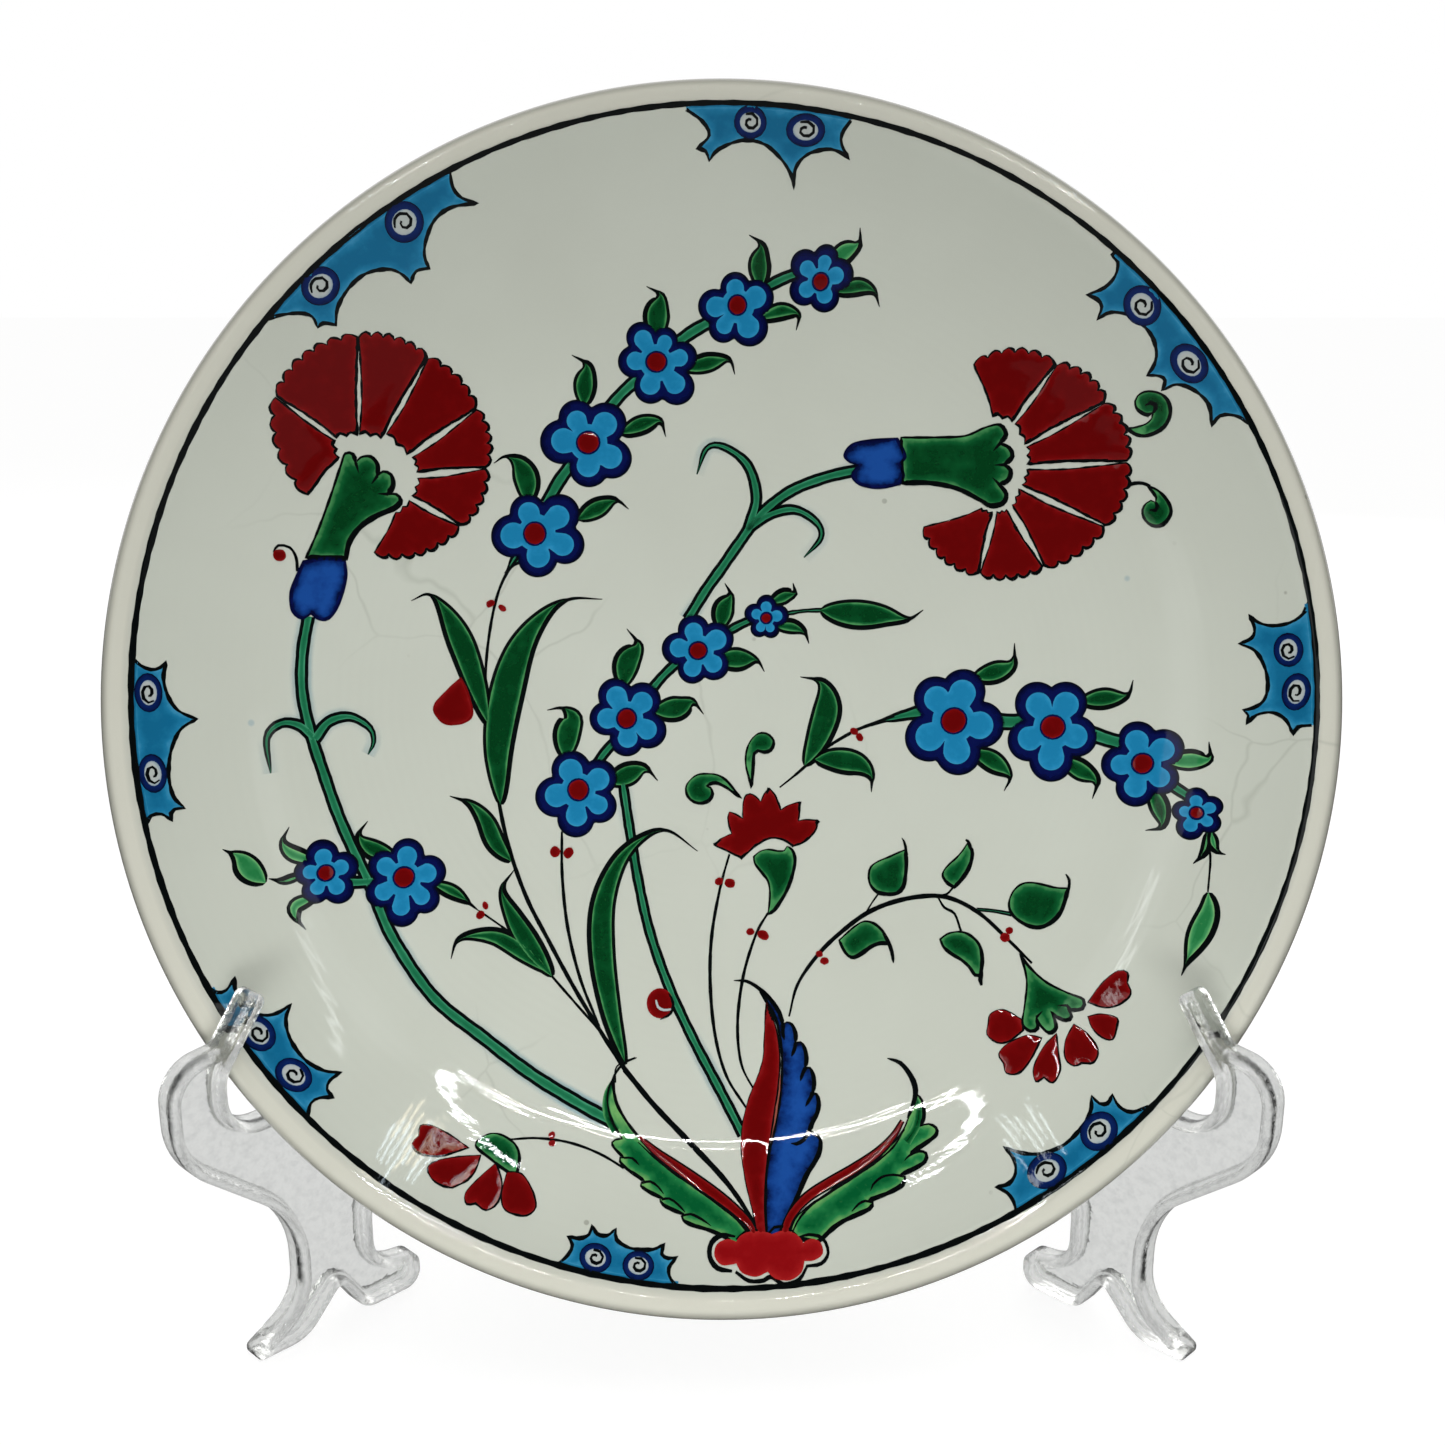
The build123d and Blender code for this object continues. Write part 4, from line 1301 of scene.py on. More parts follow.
# carnations
carnations = {
    "cupRim": 1.0,  # width of the dark rim of the blue cup
    "ruffNotches": 2,  # along a petal's inner edge
    "ruffDepth": 0.8,
    "ruffShare": 0.4,  # most depth of a notch against its width
    "waistPull": 0.5,  # how far a petal's sides draw in
    "waistPlaces": (0.4, 0.6),  # and where, on the way out and on the way back
    "scallop": 1.15,
    "scallopParts": ((0.15, 0.55), (0.5, 1.0), (0.85, 0.55)),  # places along it and heights there
    "petalLine": 0.32,
    "petalWaver": 0.12,
    "creaseRoom": 1.5,  # a crease needs this many times its length between the notch and the middle
    "creaseStart": 0.9,  # its half widths against the outline's, and at its end
    "creaseMiddle": 0.6,
    "creaseEnd": 0.06,
    "curlCrease": (0.3, 0.55, 0.15),  # half widths at the start, the middle and the end
    "curlStalk": (0.55, 0.45, 0.35),
    "left": {
        "cup": [
            (-105.5, 35.2, 0), (-100.0, 36.3), (-95.2, 35.8, 0), (-94.9, 31.0), (-96.8, 24.2),
            (-99.4, 20.4), (-102.0, 20.2), (-103.8, 21.6, 0), (-106.0, 20.3), (-108.4, 22.2),
            (-108.8, 27.0), (-107.2, 31.5),
        ],
        "calyx": [
            (-104.6, 36.0, 0), (-101.6, 43.0), (-98.6, 51.0), (-95.8, 59.0), (-94.6, 62.0), (-92.8, 61.9),
            (-92.2, 59.8, 0), (-91.0, 61.2), (-88.6, 61.5), (-87.0, 59.6), (-87.1, 56.8, 0),
            (-85.7, 57.9), (-83.8, 57.2), (-83.3, 54.6), (-84.6, 52.3, 0), (-82.6, 52.3), (-81.5, 50.8),
            (-83.0, 48.9), (-87.5, 46.8), (-91.5, 44.0), (-94.2, 40.2), (-95.2, 36.0, 0),
        ],
        # two ends of the inner edge, two of the outer edge, how far that swells, number of scallops
        "petals": [
            ((-96.2, 61.0), (-97.0, 65.0), (-109.6, 74.2), (-103.8, 51.6), 2.8, 6),
            ((-96.6, 65.9), (-91.6, 66.8), (-90.2, 89.8), (-109.2, 74.6), 3.0, 7),
            ((-91.0, 67.0), (-86.0, 66.2), (-74.2, 86.2), (-89.8, 89.8), 1.8, 6),
            ((-84.6, 67.2), (-79.8, 62.4), (-62.6, 74.2), (-73.8, 85.8), 1.6, 5),
            ((-78.4, 61.6), (-77.4, 58.0), (-60.2, 59.6), (-62.3, 73.8), 1.5, 5),
            ((-77.2, 56.4), (-78.6, 52.0), (-66.6, 44.8), (-60.2, 59.0), 1.7, 5),
            ((-79.4, 50.8), (-82.8, 47.8), (-88.2, 37.6), (-67.0, 44.4), 3.0, 7),
        ],
    },
    "right": {
        "cup": [
            (31.0, 62.4), (33.0, 65.4), (38.0, 66.6), (45.0, 67.0, 0), (46.4, 64.5), (47.2, 62.0),
            (45.8, 60.2, 0), (46.8, 57.2), (45.6, 54.8, 0), (40.0, 53.8), (35.0, 54.8), (32.9, 57.4),
            (34.6, 60.0, 0), (32.6, 60.5),
        ],
        "calyx": [
            (45.8, 67.0, 0), (55.0, 67.0), (62.0, 67.3), (67.0, 69.3), (70.6, 69.9), (72.2, 67.5),
            (70.8, 65.3, 0), (73.1, 64.1), (73.9, 62.0), (72.0, 59.9, 0), (73.5, 58.5), (73.0, 56.1),
            (70.8, 54.9, 0), (72.5, 52.5), (71.6, 50.2), (68.5, 49.6), (66.0, 51.0), (60.0, 54.0),
            (53.0, 55.4), (46.2, 55.4, 0),
        ],
        "petals": [
            ((68.8, 72.2), (73.6, 70.8), (83.4, 83.9), (63.8, 84.8), 3.0, 6),
            ((74.4, 70.0), (76.8, 65.0), (95.4, 74.4), (83.9, 83.7), 1.8, 5),
            ((77.4, 64.2), (77.7, 60.0), (101.4, 60.0), (95.6, 74.0), 1.6, 5),
            ((77.5, 58.6), (76.4, 54.8), (96.9, 44.4), (101.4, 59.4), 1.6, 5),
            ((75.6, 53.8), (74.0, 49.8), (82.2, 34.4), (96.5, 43.9), 1.6, 5),
            ((72.6, 48.6), (70.2, 48.0), (66.0, 32.6), (81.6, 34.2), 1.4, 5),
            ((68.9, 48.0), (66.2, 48.9), (51.6, 44.2), (65.4, 32.6), 2.4, 6),
        ],
        # outline, crease and stalk of each curl
        "curls": [
            ([(101.0, 67.8, 0), (102.8, 66.3), (105.1, 65.6), (107.6, 66.2), (109.4, 67.5), (110.4, 69.6),
              (110.4, 71.6), (109.6, 73.7), (108.2, 75.1), (106.3, 75.9), (104.4, 76.0), (103.0, 75.2),
              (102.5, 74.0), (102.9, 72.4), (104.1, 71.2), (105.6, 70.5), (106.7, 70.9, 0), (106.5, 69.6),
              (105.4, 68.5), (104.0, 68.0), (102.4, 67.7)],
             [(106.7, 70.9), (107.2, 71.8), (107.0, 72.9), (105.9, 73.4), (104.8, 72.8)],
             [(98.2, 69.8), (99.6, 69.2), (101.0, 67.8), (102.8, 66.3)]),
            ([(106.4, 53.6, 0), (108.7, 52.4), (110.4, 50.7), (111.6, 48.8), (112.1, 47.0), (111.6, 45.3),
              (110.4, 43.9), (108.8, 43.5), (107.1, 44.3), (105.9, 45.9), (105.6, 47.7), (106.3, 49.2),
              (107.4, 49.9), (108.5, 49.4, 0), (108.6, 50.5), (107.7, 52.0)],
             [(108.5, 49.4), (109.0, 48.4), (108.5, 47.4), (107.2, 47.6)],
             [(101.6, 53.8), (103.5, 54.3), (105.4, 54.2), (107.1, 53.4)]),
        ],
    },
    "crown": [
        (-1.9, -36.9, 0), (-0.4, -35.4), (1.8, -34.3), (2.6, -34.0, 0), (2.0, -32.1), (1.6, -29.9),
        (2.0, -28.4, 0), (3.6, -29.0), (5.4, -30.1, 0), (5.4, -28.1), (5.6, -25.6), (6.3, -24.1),
        (7.3, -23.8), (8.7, -24.5), (10.0, -25.8, 0), (10.9, -23.8), (12.2, -22.4, 0), (13.6, -24.1),
        (14.5, -26.3), (15.1, -27.9, 0), (17.1, -26.7), (19.8, -25.9, 0), (19.8, -28.1), (19.6, -30.7, 0),
        (21.5, -30.4), (24.5, -30.6, 0), (24.0, -32.9), (22.2, -35.0), (20.4, -36.3), (18.2, -37.1, 0),
        (16.7, -36.0), (14.9, -35.2), (12.7, -35.0), (10.5, -35.8), (8.3, -37.2), (6.3, -39.1),
        (5.1, -40.1, 0), (3.2, -39.2), (0.7, -38.0),
    ],
    "crownTips": [
        ([(-1.9, -36.9), (-1.1, -36.2), (-0.0, -35.6)], 0.5, 0.3, 0.08),
        ([(4.8, -40.4), (5.6, -39.5), (6.6, -38.6)], 0.45, 0.3, 0.08),
        ([(19.9, -25.8), (19.9, -26.7), (19.5, -27.8)], 0.5, 0.32, 0.08),
        ([(24.7, -30.6), (24.1, -31.4), (23.5, -32.4)], 0.55, 0.4, 0.08),
        ([(18.4, -37.2), (17.5, -36.6), (16.5, -36.0)], 0.45, 0.3, 0.08),
        ([(12.1, -22.3), (11.8, -23.1), (11.5, -23.9)], 0.45, 0.3, 0.08),
    ],
    "crownCalyx": [
        (8.2, -39.8, 0), (9.8, -38.5), (12.0, -38.0), (14.2, -38.4), (16.0, -38.3), (16.7, -37.2, 0),
        (18.0, -38.1), (18.7, -40.1), (18.5, -42.7), (17.6, -46.0), (16.4, -48.9), (14.9, -51.4),
        (13.3, -53.6), (11.8, -54.5, 0), (12.2, -51.8), (12.3, -48.5), (11.8, -46.0), (10.2, -43.8),
        (8.5, -41.6),
    ],
    "crownCurls": [
        [(7.6, -22.3, 0), (6.9, -19.4), (6.2, -16.5), (6.3, -13.2), (7.4, -10.3), (9.3, -8.5),
         (11.3, -8.4), (12.9, -9.6), (13.3, -11.0), (12.5, -12.7), (10.9, -13.2), (9.3, -12.8, 0),
         (8.3, -13.6), (8.1, -16.1), (7.9, -19.0)],
        [(4.9, -24.9, 0), (3.2, -22.7), (1.1, -20.3), (-1.1, -19.0), (-3.7, -18.7), (-6.2, -19.0),
         (-8.2, -20.5), (-9.1, -22.3), (-8.6, -24.5), (-7.0, -25.9), (-4.9, -26.2), (-3.1, -25.4),
         (-2.3, -23.8), (-2.8, -22.3), (-3.7, -21.8, 0), (-2.9, -21.3), (-1.5, -21.0), (0.7, -21.9),
         (2.9, -23.4)],
    ],
}


def scalloped(first, last, bulge, count):
    # points of a wavy edge from first to last that swells outwards by bulge
    first, last = Vector(first), Vector(last)
    run = last - first
    out = Vector((run.y, -run.x)).normalized()
    points = []
    for i in range(count):
        for part, height in carnations["scallopParts"]:
            t = (i + part) / count
            arch = bulge * 4 * t * (1 - t)
            bump = carnations["scallop"] * height
            points.append(tuple(first + run * t + out * (arch + bump)))
        if i + 1 < count:
            t = (i + 1) / count
            points.append((*(first + run * t + out * bulge * 4 * t * (1 - t)), "notch"))
    return points


def paintPetal(painting, innerA, innerB, outerB, outerA, bulge, count):
    # a fan petal: an inner edge cut by the ruff, a wavy outer edge, and sides that leave a white sliver
    a, b, c, d = (Vector(p) for p in (innerA, innerB, outerB, outerA))
    heart = (a + b + c + d) / 4
    notches = carnations["ruffNotches"]

    def waist(p, q, share):
        spot = p + (q - p) * share
        return tuple(spot + (heart - spot).normalized() * carnations["waistPull"])

    points = [(*a, "corner")]
    run = b - a
    cut = min(carnations["ruffDepth"], run.length / notches * carnations["ruffShare"])
    deep = ((c + d) / 2 - (a + b) / 2).normalized() * cut
    for k in range(notches):
        points.append(tuple(a + run * (k + 0.5) / notches + deep))
        points.append((*(a + run * (k + 1) / notches), "corner"))
    out, back = carnations["waistPlaces"]
    points += [waist(b, c, out), (*c, "corner"), *scalloped(c, d, bulge, count), (*d, "corner")]
    points.append(waist(d, a, back))
    outline = curveThrough(points, closed=True, step=0.7)
    painting.fill(outline, "red", "colour", soft=1.2, swell=0.14, grid=1.7)
    halves = outlineHalves(outline, carnations["petalLine"], carnations["petalWaver"])
    painting.ribbon(outline, halves, "ink", "over", 2, True)


def paintCreased(painting, points, line=0.5, crease=2.6):
    # lobes with a dark crease running in from each notch
    paintArea(painting, points, "leafGreen", line, soft=2.6)
    heart = Vector((sum(p[0] for p in points), sum(p[1] for p in points))) / len(points)
    for notch in [p for p in points if len(p) == 3 and p != points[0]]:
        spot = Vector(notch[:2])
        way = (heart - spot).normalized()
        if (heart - spot).length > crease * carnations["creaseRoom"]:
            ends = [tuple(spot + way * crease * share) for share in (0.0, 0.5, 1.0)]
            halves = line * carnations["creaseStart"], line * carnations["creaseMiddle"]
            paintLine(painting, ends, *halves, carnations["creaseEnd"], "ink", "over")


def paintCarnation(name, flower):
    body = Painting(name + "Calyx")
    cup = curveThrough(flower["cup"], closed=True, step=0.9)
    body.fill(cup, "cobaltRing", "over", soft=0.7)
    middle = Vector((sum(p.x for p in cup), sum(p.y for p in cup))) / len(cup)
    inset = [p + (middle - p).normalized() * carnations["cupRim"] for p in cup]
    body.fill(inset, "cobalt", "top", soft=2.0)
    paintCreased(body, flower["calyx"])
    body.build()
    petals = Painting(name + "Petals")
    for petal in flower["petals"]:
        paintPetal(petals, *petal)
    for outline, crease, stalk in flower.get("curls", []):
        paintArea(petals, outline, "leafGreen", 0.36, soft=1.5)
        paintLine(petals, crease, *carnations["curlCrease"], "ink", "over")
        paintLine(petals, stalk, *carnations["curlStalk"], "ink", "over")
    petals.build()


def paintCarnations():
    paintCarnation("paintedLeftCarnation", carnations["left"])
    paintCarnation("paintedRightCarnation", carnations["right"])
    crown = Painting("paintedCrownFlower")
    paintArea(crown, carnations["crown"], "red", 0.24, soft=1.2, swell=0.14)
    paintLines(crown, carnations["crownTips"], "ink", "top")
    for outline in [carnations["crownCalyx"], *carnations["crownCurls"]]:
        paintArea(crown, outline, "leafGreen", 0.34, soft=1.8)
    crown.build()


# two small flowers low on the dish
lowFlowers = {
    "leftHeart": [
        (-61.0, -110.4), (-58.4, -108.2), (-55.0, -108.4), (-51.4, -110.8), (-50.2, -114.0),
        (-51.0, -117.4), (-54.0, -116.0), (-57.0, -113.8),
    ],
    "rightCalyx": [
        (75.6, -64.2, 0), (78.0, -67.6), (82.0, -71.2), (87.0, -73.6), (90.6, -75.0), (90.2, -77.2),
        (87.4, -77.6), (86.6, -76.6, 0), (87.6, -79.2), (86.2, -80.2), (84.0, -79.4), (83.0, -78.2, 0),
        (83.8, -82.0), (82.0, -83.4), (80.0, -81.6), (79.2, -79.8, 0), (79.4, -82.4), (77.6, -83.2),
        (75.8, -81.6), (76.4, -77.6), (77.2, -72.0), (76.8, -68.0),
    ],
    "petals": [
        [(-62.6, -110.9, 0), (-67.0, -107.9), (-71.6, -105.4), (-74.4, -105.2), (-74.6, -107.4, 0),
         (-76.0, -109.0), (-74.0, -111.3), (-69.0, -112.2)],
        [(-59.6, -112.7, 0), (-65.0, -112.7), (-70.0, -113.2), (-71.9, -114.6), (-70.4, -117.2),
         (-67.6, -118.8), (-65.6, -119.2, 0), (-62.2, -117.8), (-60.4, -115.4)],
        [(-55.8, -114.6, 0), (-59.4, -117.4), (-62.6, -120.6), (-62.0, -122.9), (-60.0, -122.9, 0),
         (-57.4, -124.5), (-54.7, -123.0), (-54.1, -119.0)],
        [(-53.0, -116.6, 0), (-49.4, -117.4), (-46.7, -121.0), (-45.6, -124.6), (-47.6, -126.2),
         (-51.0, -125.7), (-53.4, -124.2), (-54.0, -121.0)],
        [(75.6, -80.4, 0), (71.2, -78.2), (68.0, -79.4), (67.4, -81.8, 0), (67.0, -84.4), (69.3, -86.2),
         (72.2, -85.9), (75.9, -83.0, 0)],
        [(80.2, -84.7, 0), (76.8, -84.2), (72.0, -86.4), (69.7, -89.0), (70.8, -91.2, 0), (71.3, -93.4),
         (74.2, -93.3), (77.2, -90.1)],
        [(83.8, -83.4, 0), (80.4, -87.0), (77.9, -91.8), (78.2, -95.0), (80.2, -93.9, 0), (82.2, -95.0),
         (84.1, -92.0), (84.0, -88.0)],
        [(88.0, -81.0, 0), (85.8, -85.0), (85.5, -89.2), (87.4, -90.8), (89.2, -90.0, 0), (92.0, -89.6),
         (93.2, -86.6), (91.0, -83.0)],
        [(91.4, -79.0, 0), (94.5, -78.2), (98.1, -78.9), (97.8, -81.4, 0), (96.7, -84.0), (94.3, -83.7),
         (92.2, -81.6)],
        [(91.6, -75.6, 0), (95.0, -71.0), (99.0, -67.6), (101.2, -68.0), (101.0, -70.4, 0),
         (101.6, -73.0), (98.8, -75.7), (95.4, -76.6)],
    ],
}


def paintLowFlowers():
    flowers = Painting("paintedLowFlowers")
    paintArea(flowers, lowFlowers["leftHeart"], "leafGreen", 0.3, soft=2.0)
    paintCreased(flowers, lowFlowers["rightCalyx"], 0.36, 2.2)
    for petal in lowFlowers["petals"]:
        paintArea(flowers, petal, "red", 0.18, soft=1.2, swell=0.14)
    flowers.build()


# tuft and long leaves at the foot
foot = {
    "streakShare": 0.88,  # width of the red of a streak against its outline
    "streakRim": 0.3,  # and how far the ink shows beyond that outline
    "redBlade": [
        (11.4, -76.8, 0), (11.2, -81.2), (11.0, -85.8), (10.7, -90.6), (9.7, -94.5), (8.0, -98.4),
        (6.4, -102.8), (5.4, -107.1), (5.0, -111.4), (5.3, -115.5), (6.0, -119.6), (7.1, -124.1),
        (8.2, -128.0), (8.8, -131.2), (9.2, -134.1, 0), (11.0, -133.0, 0), (10.6, -128.8), (10.5, -124.5),
        (10.8, -119.5), (11.4, -114.5), (12.3, -109.2), (13.2, -103.8), (14.1, -98.3), (14.6, -92.8),
        (14.5, -88.8), (13.9, -84.5), (12.8, -80.7),
    ],
    "blueBlade": [
        (9.6, -73.5, 0), (12.2, -75.7), (14.4, -78.7), (15.7, -82.6, 0), (16.6, -82.0), (17.9, -82.6),
        (18.8, -84.6), (18.9, -87.2, 0), (20.1, -87.0), (21.1, -88.5), (21.6, -91.0), (21.3, -93.4, 0),
        (22.4, -93.4), (23.2, -95.0), (23.5, -97.3), (23.1, -99.5, 0), (24.0, -99.8), (24.6, -101.6),
        (24.2, -104.2), (22.9, -106.6), (22.1, -108.6, 0), (23.4, -109.2), (24.8, -110.4), (24.6, -113.2),
        (23.2, -115.8), (21.3, -118.5), (19.5, -122.0), (17.8, -125.4), (16.2, -128.0), (15.0, -130.3),
        (14.3, -132.8, 0), (11.1, -132.9, 0), (11.0, -129.3), (11.0, -124.5), (11.2, -119.5),
        (11.7, -115.4), (12.7, -111.2), (13.8, -106.7), (14.8, -101.5), (15.3, -96.0), (15.4, -90.9),
        (14.9, -85.8), (14.0, -81.7), (12.8, -79.0), (11.3, -76.5),
    ],
    "leftLeaf": [
        (-27.6, -95.8, 0), (-28.5, -98.1), (-28.9, -100.8), (-28.5, -103.6), (-27.4, -106.5),
        (-26.0, -108.8), (-25.0, -110.3, 0), (-26.7, -110.5), (-27.5, -111.1), (-26.9, -112.4),
        (-24.4, -114.7, 0), (-25.4, -114.6), (-25.4, -115.5), (-23.5, -117.3), (-21.2, -118.7),
        (-19.2, -120.0, 0), (-20.0, -120.2), (-20.1, -121.0), (-17.9, -122.4), (-14.7, -123.8, 0),
        (-15.3, -124.0), (-14.5, -125.2), (-11.9, -126.4), (-9.4, -127.3, 0), (-9.9, -127.6),
        (-9.4, -128.6), (-7.2, -129.6), (-3.7, -130.5), (-0.7, -131.5), (1.9, -132.7), (3.4, -133.8),
        (7.7, -133.5, 0), (7.2, -131.6), (5.0, -128.9), (1.1, -125.8), (-3.3, -123.1), (-8.3, -119.9),
        (-13.0, -116.8), (-16.7, -113.8), (-19.8, -111.1), (-22.5, -108.1), (-24.7, -105.2),
        (-26.5, -102.0), (-27.3, -98.8),
    ],
    "rightLeaf": [
        (49.3, -99.3, 0), (50.4, -100.7), (50.8, -103.0), (50.6, -105.1), (49.7, -106.7, 0),
        (51.8, -106.1), (53.6, -106.9), (53.6, -108.4), (51.5, -110.1), (48.2, -112.2), (46.8, -113.3, 0),
        (49.2, -112.3), (50.9, -112.9), (50.5, -114.6), (48.0, -116.2), (44.4, -117.8, 0), (45.4, -118.2),
        (44.8, -119.9), (41.6, -121.7), (38.0, -123.1), (36.3, -123.7, 0), (37.3, -124.1), (36.5, -125.4),
        (33.4, -126.8), (29.7, -128.4), (27.0, -130.1), (24.8, -131.9), (23.4, -132.8, 0),
        (16.6, -131.8, 0), (17.1, -130.1), (18.5, -127.8), (20.8, -125.9), (23.7, -124.0), (27.5, -121.7),
        (32.4, -118.6), (37.5, -115.5), (41.6, -112.1), (45.0, -108.5), (46.7, -105.4), (48.0, -102.0),
    ],
    # each line: its points and its half widths at the start, the middle and the end
    "hooks": [
        ([(3.1, -71.4), (6.4, -71.6), (9.5, -73.4), (12.2, -76.0), (14.6, -79.6), (15.7, -82.9)], 0.1,
         0.55, 0.35),
        ([(-21.6, -90.9), (-24.7, -92.2), (-26.8, -94.5), (-28.1, -97.4)], 0.1, 0.3, 0.3),
        ([(42.0, -90.8), (45.3, -91.9), (47.9, -95.1), (48.9, -98.3), (48.3, -101.4), (46.7, -105.0)],
         0.12, 0.72, 0.2),
    ],
    "hookGreens": [
        ([(-27.4, -96.2), (-29.0, -100.4), (-28.8, -104.6), (-26.6, -108.4)], 0.3, 1.0, 1.2),
        ([(48.9, -99.6), (49.6, -103.2), (48.6, -107.0), (46.2, -110.4)], 0.2, 1.0, 1.2),
    ],
    "creases": [
        ([(-24.4, -114.7), (-22.4, -114.8), (-20.6, -116.4)], 0.26, 0.3, 0.06),
        ([(-19.9, -120.4), (-17.8, -120.1), (-15.8, -121.3), (-14.4, -122.9)], 0.26, 0.3, 0.06),
        ([(-14.9, -124.1), (-13.0, -123.9), (-10.8, -125.2), (-9.0, -126.9)], 0.26, 0.3, 0.06),
        ([(-9.8, -127.7), (-7.7, -127.3), (-4.9, -128.4), (-2.6, -129.8)], 0.26, 0.3, 0.06),
        ([(51.1, -112.7), (49.1, -112.4), (46.7, -113.5), (45.5, -114.7)], 0.26, 0.3, 0.06),
        ([(45.0, -118.1), (42.6, -117.9), (39.8, -118.5), (37.5, -120.3), (36.9, -121.6)], 0.26, 0.3,
         0.06),
        ([(37.1, -124.0), (35.5, -123.8), (33.8, -124.6), (32.1, -126.2)], 0.26, 0.3, 0.06),
        ([(18.9, -87.2), (18.5, -88.9), (17.8, -90.6)], 0.6, 0.5, 0.1),
        ([(21.3, -93.4), (20.6, -94.8), (20.0, -96.6)], 0.6, 0.5, 0.1),
        ([(23.1, -99.5), (22.3, -101.0), (21.2, -102.8)], 0.6, 0.5, 0.1),
        ([(22.1, -108.6), (20.7, -110.6), (18.8, -111.6), (17.4, -111.5)], 0.6, 0.5, 0.1),
        ([(15.7, -82.6), (15.6, -84.7), (16.0, -86.5)], 0.6, 0.5, 0.1),
    ],
    "redStreaks": [
        ([(-20.8, -109.8), (-16.5, -113.4), (-11.9, -116.5), (-6.2, -120.1), (-1.1, -123.3),
          (3.5, -126.5), (6.8, -129.3), (8.7, -132.6)], 0.25, 1.25, 0.6),
        ([(45.4, -105.6), (42.8, -109.5), (38.7, -113.3), (32.9, -117.0), (26.7, -120.3), (22.1, -122.9),
          (18.8, -125.6), (16.4, -128.7), (15.2, -132.3)], 0.3, 1.05, 0.9),
    ],
    "veins": [
        ([(-21.0, -111.1), (-17.0, -114.6), (-12.4, -118.0), (-6.7, -121.5), (-1.1, -125.1),
          (3.4, -128.2), (6.2, -131.0), (7.7, -133.5)], 0.12, 0.3, 0.2),
        ([(45.9, -107.6), (42.7, -111.9), (38.0, -115.6), (32.3, -119.1), (26.9, -122.3), (22.6, -124.9),
          (19.5, -127.7), (17.6, -130.6), (17.0, -132.3)], 0.12, 0.3, 0.2),
    ],
    "pinkEdge": ([(14.6, -93.8), (14.8, -98.2), (14.3, -102.6), (13.4, -106.9), (12.4, -110.7),
                  (11.7, -113.8)], 0.1, 0.55, 0.2),
    "tuft": [
        (3.6, -133.0, 0), (1.4, -132.5), (-1.2, -133.6), (-1.7, -136.0), (0.0, -137.7), (2.6, -137.6),
        (3.6, -137.4, 0), (5.0, -139.2), (8.4, -139.9), (11.2, -138.9, 0), (13.0, -140.2), (16.6, -140.4),
        (19.4, -138.8), (20.2, -136.6, 0), (22.6, -136.4), (24.7, -135.0), (24.2, -132.8), (22.0, -132.1),
        (20.0, -133.0, 0), (18.6, -131.4), (15.4, -130.6), (12.4, -131.4, 0), (10.4, -130.9),
        (6.6, -131.0), (4.4, -132.0),
    ],
    "tuftLines": [
        ([(3.4, -132.0), (0.2, -131.7), (-2.4, -133.2), (-2.9, -136.0), (-1.0, -138.3), (2.6, -138.9)],
         0.2, 0.62, 0.3),
        ([(3.4, -139.0), (6.6, -140.7), (10.2, -140.6), (12.0, -139.8), (15.0, -141.2), (18.8, -140.2),
          (20.9, -137.4)], 0.3, 0.45, 0.3),
        ([(20.6, -137.6), (24.2, -137.0), (26.0, -134.8), (24.8, -132.0), (21.4, -131.3), (18.8, -132.0)],
         0.3, 0.4, 0.2),
        ([(18.6, -131.6), (16.2, -130.0), (13.0, -130.0), (11.4, -131.4), (9.0, -130.7), (5.6, -131.1),
          (3.6, -132.6)], 0.2, 0.3, 0.2),
    ],
}


def paintFoot():
    greens = Painting("paintedFootLeaves")
    for edge in ("leftLeaf", "rightLeaf"):
        paintArea(greens, foot[edge], "sazGreen", 0.36, soft=2.6, layer="under")
    paintArea(greens, foot["blueBlade"], "cobalt", 0.44, soft=3.8, layer="colour")
    paintLines(greens, foot["hookGreens"], "leafGreen", "colour")
    paintLines(greens, foot["hooks"] + foot["creases"], "ink", "over")
    paintLines(greens, foot["veins"], "ink", "top")
    greens.build()
    reds = Painting("paintedFootReds")
    paintLine(reds, *foot["pinkEdge"], "faintRed", "under")
    paintArea(reds, foot["redBlade"], "red", 0.34, soft=1.6, swell=0.14, layer="over")
    for points, start, middle, end in foot["redStreaks"]:
        line = curveThrough(points)
        halves = []
        for s in shares(line):
            halves.append((start * (1 - s) + end * s) * (1 - sin(pi * s)) + middle * sin(pi * s))
        reds.ribbon(line, [half + foot["streakRim"] for half in halves], "ink", "colour", across=2)
        reds.ribbon(line, [half * foot["streakShare"] for half in halves], "red", "over", swell=0.12)
    paintArea(reds, foot["tuft"], "brightRed", 0, soft=1.6, swell=0.2, layer="last")
    paintLines(reds, foot["tuftLines"], "ink", "top")
    reds.build()


paintBorder()
paintStems()
paintLeaves()
paintSprays()
paintCarnations()
paintLowFlowers()
paintFoot()

clearPlastic = makePlastic()
for node in ("stand_left_half", "stand_right_half", "hinge_pin"):
    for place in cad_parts[node].material_slots:
        place.material = clearPlastic
print("stand finished")

